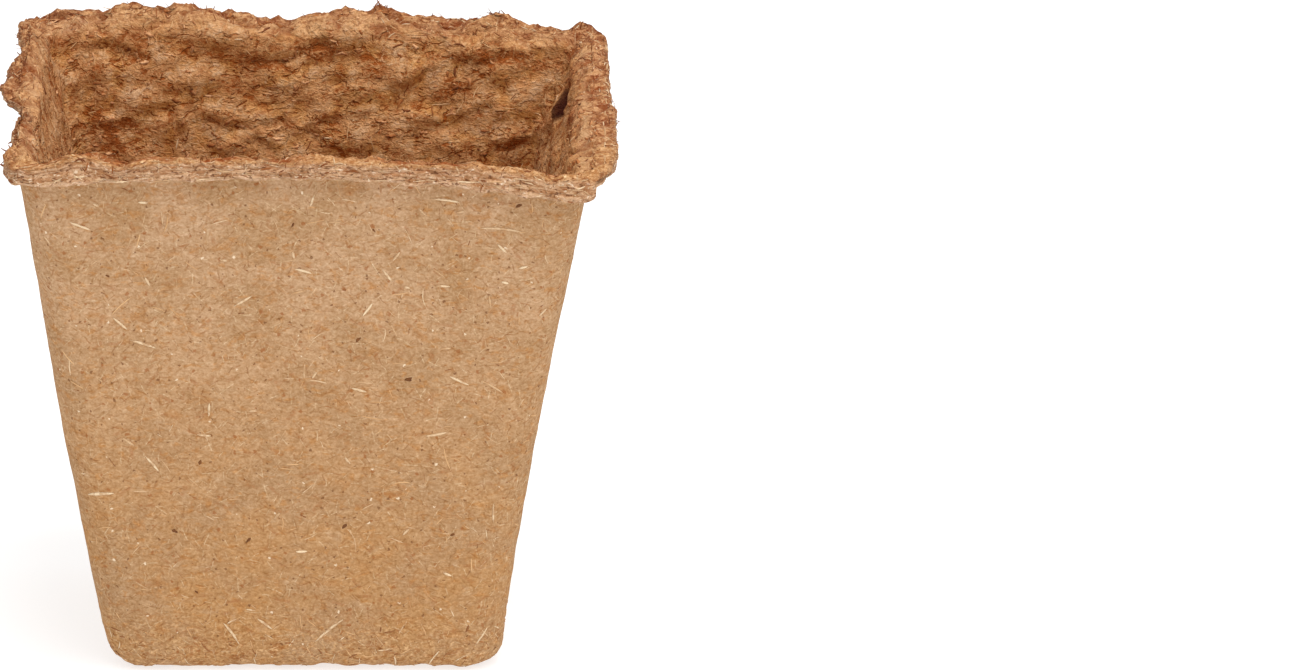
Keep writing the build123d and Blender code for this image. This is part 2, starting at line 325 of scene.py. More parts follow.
# the rough felt inside: crumpled bulges with creases between them, and thin folds
warp = np.stack([noise3(BASE, 9.0, 27), noise3(BASE, 9.0, 28), noise3(BASE, 9.0, 29)], 2) * 2.4
bent = (BASE + warp) * [1.0, 1.0, 1.2]
lump_a = noise3(bent, 10.5, 21) + 0.30 * noise3(BASE, 4.2, 22)
lump_b = noise3(bent, 5.0, 23) + 0.25 * noise3(BASE, 2.2, 24)
lump_c = noise3(bent * [1, 1, 1.5], 2.6, 25)
lump_d = noise3(BASE * [1, 1, 1.4], 1.5, 26)
fold = 1.0 - np.abs(noise3(bent * [1, 1, 1.3], 6.5, 30))
billow = (np.abs(lump_a) * 1.75 + np.abs(lump_b) * 1.0 + np.abs(lump_c) * 0.6 + lump_d * 0.34
          + np.maximum(fold - 0.80, 0) * 2.2 - 0.85)
near_lip = np.where(np.isin(REGION, (SHOULDER, INNER)), smooth(56.0, 64.0, ZROW), 0.0)
billow = billow * (1.0 - 0.5 * near_lip[:, None] * left_side[None, :]) * (1.0 - 0.8 * calm)
round_about = billow
for axis, reach in ((1, 5), (0, 4)):
    round_about = sum(np.roll(round_about, k, axis) for k in range(-reach, reach + 1)) / (2.0 * reach + 1.0)
# how far the felt lies below its surroundings, for the painted shade in the hollows
sunk_shade = np.clip((round_about - billow) / 0.50, 0, 1)
in_take = np.where(np.isin(REGION, (INNER, INFOOT)), 1.0, 0.0)
in_take[REGION == INFLOOR] = 0.7
in_take[REGION == SHOULDER] = 0.8
in_take[REGION == CROWN] = 0.45
# painted shade in the creases between the bulges, with a rust-brown tint along the crests of the thin folds
creased = np.clip(1.0 - np.minimum(np.abs(lump_a) / 0.12, np.abs(lump_b) / 0.10), 0, 1)
ridged = smooth(0.82, 0.97, fold)
crease_shade_and_fold_tint = np.clip(np.maximum(creased, ridged * 0.85), 0, 1) * in_take[:, None]

# the folds that stand out on the back wall inside: each one a line of (across, up), in millimetres
FOLDS = [[(-22.3, 60.8), (-20.7, 61.2), (-19.4, 61.5), (-18.6, 60.5), (-17.8, 58.9), (-17.6, 56.8)],
         [(1.5, 59.6), (4.4, 60.0), (7.2, 60.3)],
         [(-7.7, 57.3), (-6.0, 56.2), (-4.7, 55.4)],
         [(-0.6, 58.4), (1.3, 57.1)],
         [(-7.4, 67.6), (-3.3, 67.7), (-1.7, 68.6), (1.8, 70.3)],
         [(-14.2, 60.0), (-10.9, 58.9), (-5.5, 59.2), (-4.1, 59.7)],
         [(3.2, 65.2), (5.2, 65.0), (7.2, 65.4)],
         [(21.4, 67.8), (23.5, 67.2), (24.8, 68.1), (26.4, 68.6), (28.3, 68.0)],
         [(21.6, 61.0), (24.3, 61.7)],
         [(15.4, 59.8), (16.8, 58.9), (18.6, 58.8), (20.2, 60.0)],
         [(25.2, 56.2), (27.0, 56.3), (29.1, 57.0)],
         [(-29.6, 69.6), (-27.3, 69.9), (-25.0, 69.2), (-23.4, 68.2)],
         [(-32.5, 59.3), (-28.0, 58.8), (-24.5, 59.4)],
         [(12.5, 63.9), (14.4, 64.8), (15.6, 66.6)]]
# and the rust-coloured clumps and pools, the two wide ones low on the left being painted shade: across, up, half
# width, half height
POOLS = [(20.8, 71.3, 2.2, 1.2), (9.6, 72.0, 1.8, 1.2), (8.5, 67.6, 2.0, 1.4), (18.8, 64.6, 2.0, 1.3), (-26.0, 56.4, 5.5, 1.5), (-27.0, 59.0, 6.0, 0.8),
         (0.0, 69.4, 3.5, 1.2), (27.0, 56.5, 3.0, 1.0), (25.0, 68.0, 4.0, 0.8), (-6.0, 67.0, 2.5, 1.0)]
# and the cushions of felt between them: across, up, half width, half height
CUSHIONS = [(4.7, 71.0, 2.6, 1.7), (12.9, 66.2, 2.4, 1.6), (21.3, 69.4, 2.2, 1.6), (-12.5, 71.0, 3.0, 1.6), (-3.6, 65.3, 3.0, 1.6),
            (-25.0, 62.8, 3.4, 1.8), (-19.6, 59.3, 2.0, 1.8), (-14.6, 65.3, 2.6, 1.6), (-7.7, 70.2, 2.4, 1.4), (7.1, 63.5, 3.0, 1.4),
            (25.6, 66.5, 3.0, 1.8), (27.1, 61.6, 2.8, 1.6), (14.4, 60.1, 3.2, 1.3), (5.1, 57.2, 3.5, 1.5), (19.3, 56.8, 3.0, 1.4),
            (-25.9, 66.3, 3.4, 1.8), (-11.6, 56.6, 3.0, 1.4)]
back_in = np.where(np.isin(REGION, (INNER, SHOULDER))[:, None] & (COL_SIDE == 2)[None, :] & (COL_A == 0)[None, :], 1.0, 0.0)
at_x, up_z = POS[:, :, 0], POS[:, :, 2]
groove, ledge = np.zeros((R_N, C_N)), np.zeros((R_N, C_N))
for line in FOLDS:
    near = np.full((R_N, C_N), 1e9)
    over = np.zeros((R_N, C_N))
    for (x0, z0), (x1, z1) in zip(line[:-1], line[1:]):
        t = np.clip(((at_x - x0) * (x1 - x0) + (up_z - z0) * (z1 - z0)) / ((x1 - x0) ** 2 + (z1 - z0) ** 2), 0, 1)
        gap = np.hypot(at_x - x0 - t * (x1 - x0), up_z - z0 - t * (z1 - z0))
        over = np.where(gap < near, up_z - z0 - t * (z1 - z0), over)
        near = np.minimum(near, gap)
    groove = np.maximum(groove, np.exp(-(near / 0.40) ** 2))
    ledge = np.maximum(ledge, np.exp(-((near - 1.1) / 0.8) ** 2) * smooth(-0.3, 0.6, over))
groove, ledge = groove * back_in, ledge * back_in
rust_and_shade_pool = sum(np.exp(-((at_x - x) / rx) ** 2 - ((up_z - z) / rz) ** 2) for x, z, rx, rz in POOLS) * back_in
wavy_x, wavy_z = at_x + noise3(BASE, 3.2, 19) * 0.9, up_z + noise3(BASE, 3.2, 20) * 0.7
cushion = sum(np.exp(-(((wavy_x - x) / rx) ** 2 + ((wavy_z - z) / rz) ** 2) ** 1.5) for x, z, rx, rz in CUSHIONS) * back_in
cushion = np.minimum(cushion, 1.2)
POS += NORM * (ledge * 0.32 - groove * 0.50 + (cushion - 0.25 * back_in) * 0.68)[:, :, None]
billow = billow * (1.0 - 0.36 * back_in)
# painted shade: the grooves under the folds are tinted like the creases
crease_shade_and_fold_tint = np.maximum(crease_shade_and_fold_tint, groove)

# the torn cut edge of the lip, in thin ragged layers
stretched = BASE * [0.35, 0.35, 2.2]
edge_take = np.where(REGION == EDGE, 1.0, 0.0)
edge_take[REGION == CROWN] = 0.6
edge_take[REGION == BELOW] = 0.35
ragged = (noise3(BASE, 3.0, 31) * 0.16 + noise3(stretched, 0.8, 32) * 0.26 + noise3(BASE, 1.25, 33) * 0.30)
teeth = 1.0 - 2.0 * np.abs(noise3(BASE * [1, 1, 0.2], 1.9, 36))
tear = (noise3(BASE * [1, 1, 0.2], 2.8, 34) * 0.28 + noise3(BASE * [1, 1, 0.2], 1.2, 35) * 0.20
        + np.maximum(teeth, 0.0) ** 3 * 0.32 - 0.09)
ragged = ragged * (1.0 - 0.6 * right_side)[None, :]
chip = noise3(BASE * [1, 1, 0.5], 1.5, 41)
POS += side_n[None, :, :] * (np.sign(chip) * np.abs(chip) ** 0.7 * 0.5 * left_side[None, :] * overhang[:, None])[:, :, None]
POS += NORM * (fine_out * out_take[:, None] + billow * in_take[:, None] * 0.76 + ragged * edge_take[:, None])[:, :, None]
crown_take = np.where(np.isin(REGION, (EDGE, CROWN)), level, 0.0)
crown_take[REGION == SHOULDER] = smooth(TOP_Z - 1.6, TOP_Z, ZROW[REGION == SHOULDER])
tear = tear * (1.0 - 0.5 * front_side - 0.4 * right_side)[None, :]
POS[:, :, 2] += tear * crown_take[:, None] * 1.25

# the torn rim stands in lumps with gaps between them, fewer along the front
rim_lump = np.abs(noise3((BASE + warp * 0.4) * [1.0, 1.0, 1.3], 5.0, 39) + 0.18 * noise3(BASE, 1.8, 40))
lump_take = np.where(REGION == EDGE, 0.6 * smooth(0.25, 0.8, level), 0.0)
lump_take[REGION == CROWN] = 1.0
lump_take[REGION == SHOULDER] = np.linspace(1.0, 0.3, int((REGION == SHOULDER).sum()))
lump_take = lump_take[:, None] * (1.0 - 0.7 * front_side)[None, :]
lump_take = lump_take * (1.0 - 0.6 * np.where(REGION == EDGE, 1.0, 0.0)[:, None] * right_side[None, :]) * (1.0 - 0.8 * calm)
POS += NORM * (np.minimum(rim_lump * 2.4, 0.75) - 0.45)[:, :, None] * lump_take[:, :, None]
# painted shade in the gaps between the rim lumps, painted highlight on their tops
rim_gap_shade = np.clip(1.0 - rim_lump / 0.13, 0, 1) * lump_take
rim_knob_highlight = smooth(0.22, 0.45, rim_lump) * lump_take

# the side walls inside are matted smoother than the front and back ones
flank = np.where(np.isin(REGION, (INNER, INFOOT)), 1.0, 0.0)[:, None] * np.abs(side_n[:, 0])[None, :]
flank[REGION == SHOULDER] = np.linspace(0.2, 1.0, int((REGION == SHOULDER).sum()))[:, None] * np.abs(side_n[:, 0])[None, :]

# rust patches and painted shade on the side rims: across, along, half widths
RIM_RUST_AND_SHADE = [(-36.5, 8.8, 1.8, 2.0), (-36.8, -18.3, 2.0, 2.4), (-35.4, -27.4, 1.2, 2.4), (35.5, -1.9, 0.9, 3.0), (36.9, 21.7, 1.6, 1.5),
            (39.4, -1.0, 1.1, 1.8), (38.6, 8.6, 1.8, 0.9), (34.8, 33.5, 1.4, 1.4), (-34.6, 30.0, 1.5, 2.2), (-38.0, 24.5, 1.0, 0.9)]
on_rim = np.isin(REGION, (CROWN, SHOULDER))[:, None]
rim_rust_and_shade = sum(np.exp(-((BASE[:, :, 0] - x) / rx) ** 2 - ((BASE[:, :, 1] - y) / ry) ** 2) for x, y, rx, ry in RIM_RUST_AND_SHADE) * on_rim
# painted shade: the lower arc of the right shoulder and the top of the right inner wall are tinted darker and browner
lee_shade = np.zeros((R_N, C_N))
fall = np.linspace(0.0, 1.0, int((REGION == SHOULDER).sum()))
lee_shade[REGION == SHOULDER] = smooth(0.15, 0.55, fall[:, None] + 0.22 * (1.0 - smooth(-4.0, 8.0, lip_y))[None, :])
lee_shade[inner_rows] = smooth(60.0, 66.0, ZROW[inner_rows])[:, None] * (0.35 + 0.65 * smooth(10.0, 20.0, lip_y))[None, :]
lee_shade = lee_shade * right_side[None, :]

# painted shade: a thin rust-coloured line runs along the back of the front rim's crest
crest_line = np.zeros(R_N)
crest_line[REGION == CROWN] = smooth(0.1, 0.5, np.linspace(0.0, 1.0, int((REGION == CROWN).sum())))
crest_line[REGION == SHOULDER] = 1.0 - smooth(0.4, 0.8, fall)
rim_rust_and_shade = rim_rust_and_shade + crest_line[:, None] * front_side[None, :] * np.clip(0.7 + 1.3 * noise3(BASE, 6.0, 43), 0, 1)

# the lip is cut back under its front right corner
corner_cut = smooth(0.965, 1.03, place) * (1.0 - smooth(1.05, 1.16, place))
lower = np.where(np.isin(REGION, (BELOW, EDGE)), np.clip(1.1 - level, 0, 1), 0.0) * overhang
POS -= side_n[None, :, :] * (lower[:, None] * corner_cut[None, :] * 0.7)[:, :, None]
POS[:, :, 2] += lower[:, None] * corner_cut[None, :] * 2.0

# the torn hollow: the felt behind it stands off the wall, most at its foot
lean_out = smooth(63.6, 69.6, at_z)
step_in = smooth(20.4, 22.0, at_y) * (1.0 - smooth(23.5, 29.0, at_y))
recess = smooth(11.0, 18.0, at_y) * (1.0 - smooth(20.2, 21.6, at_y))
# painted shade: the step face of the torn hollow is painted near black-brown
slit_shade = smooth(0.30, 0.75, np.sqrt(tall) * smooth(18.4, 20.0, at_y) * (1.0 - smooth(21.9, 22.8, at_y)))
slit_shade = slit_shade * smooth(-0.7, 0.7, at_z - 65.6 + 0.9 * (at_y - 20.4)) * (1.0 - 0.2 * smooth(20.9, 22.0, at_y))
# painted highlight on the edge of felt just behind the torn hollow
rim_knob_highlight = np.maximum(rim_knob_highlight, 1.5 * tall * smooth(22.0, 22.5, at_y) * (1.0 - smooth(23.0, 23.8, at_y)))
clear = tall * smooth(15.0, 18.0, at_y) * (1.0 - smooth(22.0, 24.0, at_y))
POS[:, :, 0] += tall * (recess * (0.8 + 1.2 * lean_out) - step_in * (1.45 - 0.95 * lean_out))

# the foot is a little arched between its corners, wavy, and softer on the left
along_foot = np.where((COL_SIDE % 2 == 0)[None, :], BASE[:, :, 0], BASE[:, :, 1]) / (WALL_BASE_W / 2.0)
low = np.where(np.isin(REGION, (UNDER, FOOT, WALL)), 1.0 - smooth(0.5, 14.0, ZROW), 0.0)
low[REGION == UNDER] *= smooth(0.55, 1.0, HALF[REGION == UNDER] / foot_c)
arch = (0.28 * np.clip(1.0 - along_foot ** 4, 0, 1) + 0.22 * noise3(BASE * [1, 1, 0.3], 6.0, 15)
        + 0.24 * noise3(BASE * [1, 1, 0.4], 2.0, 16))
POS[:, :, 2] += low[:, None] * np.maximum(arch, 0.0)
full_foot = np.where(np.isin(REGION, (FOOT, WALL)), np.exp(-((ZROW - 0.8) / 1.7) ** 2), 0.0)
POS += side_n[None, :, :] * (full_foot[:, None] * (0.04 + 0.50 * np.clip(side_n[:, 0], 0, 1))[None, :])[:, :, None]
rough_foot = np.where(np.isin(REGION, (FOOT, WALL)), 1.0 - smooth(2.0, 10.0, ZROW), 0.0)
POS += NORM * (rough_foot[:, None] * (noise3(BASE, 1.7, 17) * 0.14 + noise3(BASE, 3.4, 18) * 0.12))[:, :, None]

# nothing dips below the surface the pot stands on
POS[:, :, 2] = np.maximum(POS[:, :, 2], 0.0)
NORMALS = grid_normals(POS)

# arc length down each column, for patterns that lie on the surface
step_v = np.linalg.norm(np.diff(BASE, axis=0), axis=2).mean(1)
V_MM = np.concatenate([[0.0], np.cumsum(step_v)])


def column_u(k):
    """Millimetres along wall k for every row and column; columns of other walls are left at 0."""
    u = np.zeros((R_N, C_N))
    for i in range(R_N):
        flat, radius = HALF[i] - CRAD[i], CRAD[i]
        own = COL_SIDE == k
        u[i, own] = COL_T[own] * flat + radius * COL_A[own]
        before = COL_SIDE == (k - 1) % 4
        u[i, before] = -flat - radius * (math.pi / 2 - COL_A[before])
    return u


U_MM = [column_u(k) for k in range(4)]


# ------------------------------------------------------------------ helpers for objects and materials
def make_object(name, verts, faces, smooth_shade=True):
    mesh = bpy.data.meshes.new(name)
    mesh.from_pydata([tuple(v) for v in verts], [], faces)
    mesh.validate()
    mesh.update()
    if smooth_shade:
        mesh.polygons.foreach_set("use_smooth", [True] * len(mesh.polygons))
    obj = bpy.data.objects.new(name, mesh)
    scene.collection.objects.link(obj)
    return obj


def lin(r, g, b):
    """Display colour 0..255 to linear."""
    def one(c):
        c /= 255.0
        return c / 12.92 if c <= 0.04045 else ((c + 0.055) / 1.055) ** 2.4
    return (one(r), one(g), one(b), 1.0)


# ------------------------------------------------------------------ build the felt
index = np.arange(R_N * C_N).reshape(R_N, C_N)
a = index
b = np.roll(index, -1, 1)
c = np.roll(np.roll(index, -1, 1), -1, 0)
d = np.roll(index, -1, 0)
quads = np.stack([a, b, c, d], 2).reshape(-1, 4)
shell = make_object("pulp_felt", POS.reshape(-1, 3) * MM, quads.tolist())
mesh = shell.data


def point_attr(name, values):
    at = mesh.attributes.new(name, "FLOAT", "POINT")
    at.data.foreach_set("value", np.asarray(values, np.float32).ravel())


zone_in = np.where(np.isin(REGION, (INNER, INFOOT, INFLOOR)), 1.0, 0.0)
zone_in[REGION == SHOULDER] = np.linspace(0.25, 1.0, int((REGION == SHOULDER).sum()))
zone_edge = np.where(REGION == EDGE, 1.0, 0.0)
point_attr("inside", np.repeat(zone_in[:, None], C_N, 1))
point_attr("edge", np.repeat(zone_edge[:, None], C_N, 1))
point_attr("crease", crease_shade_and_fold_tint)
# painted shade: 'hollow' browns the felt where it is sunk below its surroundings and where it faces further down than
# the wall
turned_down_shade = np.clip((NORM[:, :, 2] - NORMALS[:, :, 2]) / 0.55, 0, 1)
point_attr("hollow", np.clip(sunk_shade * 0.65 + turned_down_shade * 0.6, 0, 1) * in_take[:, None])
point_attr("gap", rim_gap_shade)
point_attr("knob_highlight", rim_knob_highlight)
point_attr("rust_and_shade_pool", np.clip(rust_and_shade_pool, 0, 1))
point_attr("rust_and_shade", np.clip(rim_rust_and_shade, 0, 1))
point_attr("lee_shade", lee_shade)
front_tone = np.clip(smooth(3.84, 3.96, place) + 1.0 - smooth(1.14, 1.34, place), 0, 1)
point_attr("front", np.repeat(front_tone[None, :], R_N, 0))
toast = np.clip(tear * 2.6 + 0.75, 0, 1) * crown_take[:, None]
toast = toast * (1.0 - 0.6 * front_side - 0.65 * right_side)[None, :] * np.exp(-((LIP_HALF - 0.2 - HALF) / 0.8) ** 2)[:, None]
point_attr("toast", toast)
point_attr("slit_shade", slit_shade)
point_attr("flank", flank)
crest = np.where(np.isin(REGION, (EDGE, CROWN)), smooth(0.72, 0.98, level), 0.0)
crest[REGION == SHOULDER] = np.linspace(1.0, -0.6, int((REGION == SHOULDER).sum())).clip(0, 1)
rise = np.where(REGION == EDGE, level, np.where(np.isin(REGION, (CROWN, SHOULDER)), 1.0, 0.0))
point_attr("rise", np.repeat(rise[:, None], C_N, 1))
thin_crest = np.where(REGION == EDGE, smooth(0.86, 1.0, level), crest)
point_attr("crest", crest[:, None] * (1.0 - front_side)[None, :] + thin_crest[:, None] * front_side[None, :])
point_attr("height", np.repeat((ZROW / TOP_Z)[:, None], C_N, 1))

# pattern coordinates that lie on the surface, in millimetres, one sheet per wall
face_i = np.repeat(np.arange(R_N), C_N)
face_j = np.tile(np.arange(C_N), R_N)
late = COL_A >= math.pi / 4 - 1e-6
face_side = np.where(late[face_j], (COL_SIDE[face_j] + 1) % 4, COL_SIDE[face_j])
next_i, next_j = (face_i + 1) % R_N, (face_j + 1) % C_N
loop_i = np.stack([face_i, face_i, next_i, next_i], 1)
loop_j = np.stack([face_j, next_j, next_j, face_j], 1)
all_u = np.stack(U_MM)
loop_u = all_u[face_side[:, None], loop_i, loop_j]
loop_v = V_MM[loop_i].copy()
loop_v[face_i == R_N - 1, 2:] = V_MM[-1] + 0.6
floor_face = np.isin(REGION[face_i], (UNDER, INFLOOR, HOLE))
fu = BASE[loop_i, loop_j, 0] + np.where(REGION[face_i] == UNDER, 0.0, 80.0)[:, None]
fv = BASE[loop_i, loop_j, 1] - 60.0
surf_u = np.where(floor_face[:, None], fu, loop_u + face_side[:, None] * 100.0)
surf_v = np.where(floor_face[:, None], fv, loop_v)
hole_step = np.clip(loop_i - (R_N - 4), 0, 4)
hole_step = np.where((face_i >= R_N - 4)[:, None], np.where(loop_i == 0, 4, hole_step), 0)
surf_u = np.where(floor_face[:, None] & (hole_step > 0), fu + (80.0 - fu) * 0.15 * hole_step, surf_u)
surf_v = np.where(floor_face[:, None] & (hole_step > 0), fv + (-60.0 - fv) * 0.15 * hole_step, surf_v)
surf = mesh.uv_layers.new(name="surf")
surf.data.foreach_set("uv", np.stack([surf_u, surf_v], 2).astype(np.float32).ravel())

# one sheet for the finished colours: four outer walls, four inner walls and the two floor faces
CHART = 81.0
outer_face = np.isin(REGION[face_i], (FOOT, WALL, BELOW, EDGE))
first_out = V_MM[np.argmax(REGION == FOOT)]
first_in = V_MM[np.argmax(REGION == CROWN)]
chart = np.where(outer_face, face_side, 4 + face_side)
cell_x, cell_y = chart % 3, chart // 3
map_u = cell_x[:, None] + 0.5 + loop_u / CHART
map_v = cell_y[:, None] + 0.01 + (loop_v - np.where(outer_face, first_out, first_in)[:, None]) / CHART
under_face = REGION[face_i] == UNDER
map_u = np.where(floor_face[:, None], 2.0 + np.where(under_face, 0.25, 0.75)[:, None]
                 + (surf_u - np.where(under_face, 0.0, 80.0)[:, None]) * 0.72 / CHART, map_u)
map_v = np.where(floor_face[:, None], 2.0 + np.where(under_face, 0.25, 0.75)[:, None] + (surf_v + 60.0) * 0.72 / CHART, map_v)
bake = mesh.uv_layers.new(name="OFBake")
bake.data.foreach_set("uv", (np.stack([map_u, map_v], 2) / 3.0).astype(np.float32).ravel())


# ------------------------------------------------------------------ shader helpers
class Net:
    """Small helper for wiring shader nodes."""

    def __init__(self, tree):
        self.tree, self.nodes, self.links = tree, tree.nodes, tree.links

    def put(self, socket, value):
        if isinstance(value, bpy.types.NodeSocket):
            self.links.new(value, socket)
        elif value is not None:
            socket.default_value = value

    def node(self, kind, **props):
        n = self.nodes.new(kind)
        for key, value in props.items():
            setattr(n, key, value)
        return n

    def math(self, op, a, b=None, c=None, clamp=False):
        n = self.node("ShaderNodeMath", operation=op, use_clamp=clamp)
        for s, v in zip(n.inputs, (a, b, c)):
            self.put(s, v)
        return n.outputs[0]

    def vec(self, op, a, b=None, scale=None):
        n = self.node("ShaderNodeVectorMath", operation=op)
        self.put(n.inputs[0], a)
        if b is not None:
            self.put(n.inputs[1], b)
        if scale is not None:
            self.put(n.inputs["Scale"], scale)
        return n.outputs[0]

    def noise(self, vector, scale, detail=2.0, rough=0.5, dims="3D", distort=0.0, colour=False):
        n = self.node("ShaderNodeTexNoise", noise_dimensions=dims)
        self.put(n.inputs["Vector"], vector)
        n.inputs["Scale"].default_value = scale
        n.inputs["Detail"].default_value = detail
        n.inputs["Roughness"].default_value = rough
        n.inputs["Distortion"].default_value = distort
        return n.outputs["Color" if colour else 0]

    def ramp(self, value, lo, hi, to_lo=0.0, to_hi=1.0, soft=True):
        n = self.node("ShaderNodeMapRange", clamp=True, interpolation_type="SMOOTHSTEP" if soft else "LINEAR")
        self.put(n.inputs["Value"], value)
        for name, v in (("From Min", lo), ("From Max", hi), ("To Min", to_lo), ("To Max", to_hi)):
            self.put(n.inputs[name], v)
        return n.outputs[0]

    def mix(self, fac, a, b, blend="MIX"):
        n = self.node("ShaderNodeMix", data_type="RGBA", blend_type=blend)
        self.put(n.inputs[0], fac)
        self.put(n.inputs[6], a)
        self.put(n.inputs[7], b)
        return n.outputs[2]

    def attr(self, name):
        return self.node("ShaderNodeAttribute", attribute_name=name).outputs["Fac"]

    def uv(self, name):
        return self.node("ShaderNodeUVMap", uv_map=name).outputs[0]

    def group(self, tree, **values):
        n = self.node("ShaderNodeGroup", node_tree=tree)
        for key, v in values.items():
            self.put(n.inputs[key], v)
        return n.outputs


def fibre_group():
    """One short, slightly bent fibre at a random turn in each cell of a scattered pattern."""
    tree = bpy.data.node_groups.new("fibre_layer", "ShaderNodeTree")
    for name, kind in (("Vector", "NodeSocketVector"), ("Scale", "NodeSocketFloat"), ("Shift", "NodeSocketFloat"),
                       ("Width", "NodeSocketFloat"), ("Length", "NodeSocketFloat"), ("Keep", "NodeSocketFloat")):
        tree.interface.new_socket(name, in_out="INPUT", socket_type=kind)
    for name in ("Mask", "Tone"):
        tree.interface.new_socket(name, in_out="OUTPUT", socket_type="NodeSocketFloat")
    net = Net(tree)
    src, dst = net.node("NodeGroupInput"), net.node("NodeGroupOutput")
    i = src.outputs
    shift = net.node("ShaderNodeCombineXYZ")
    net.put(shift.inputs[0], i["Shift"])
    net.put(shift.inputs[1], net.math("MULTIPLY", i["Shift"], 1.618))
    at = net.vec("ADD", net.vec("SCALE", i["Vector"], scale=i["Scale"]), shift.outputs[0])
    bend = net.vec("SCALE", net.vec("SUBTRACT", net.noise(at, 0.9, 1.0, 0.5, "2D", colour=True), (0.5, 0.5, 0.5)), scale=0.24)
    at = net.vec("ADD", at, bend)
    cell = net.node("ShaderNodeTexVoronoi", voronoi_dimensions="2D", feature="F1")
    net.put(cell.inputs["Vector"], at)
    cell.inputs["Scale"].default_value = 1.0
    cell.inputs["Randomness"].default_value = 1.0
    off = net.node("ShaderNodeSeparateXYZ")
    net.put(off.inputs[0], net.vec("SUBTRACT", at, cell.outputs["Position"]))
    rnd = net.node("ShaderNodeSeparateColor")
    net.put(rnd.inputs[0], cell.outputs["Color"])
    ang = net.math("MULTIPLY", rnd.outputs[0], math.pi)
    co, si = net.math("COSINE", ang), net.math("SINE", ang)
    x, y = off.outputs[0], off.outputs[1]
    along = net.math("ABSOLUTE", net.math("ADD", net.math("MULTIPLY", x, co), net.math("MULTIPLY", y, si)))
    across = net.math("ABSOLUTE", net.math("SUBTRACT", net.math("MULTIPLY", y, co), net.math("MULTIPLY", x, si)))
    wide = net.ramp(across, i["Width"], net.math("MULTIPLY", i["Width"], 0.35))
    long = net.ramp(along, i["Length"], net.math("MULTIPLY", i["Length"], 0.7))
    keep = net.math("LESS_THAN", rnd.outputs[1], i["Keep"])
    net.put(dst.inputs["Mask"], net.math("MULTIPLY", net.math("MULTIPLY", wide, long), keep))
    net.put(dst.inputs["Tone"], rnd.outputs[2])
    return tree


FIBRES = fibre_group()


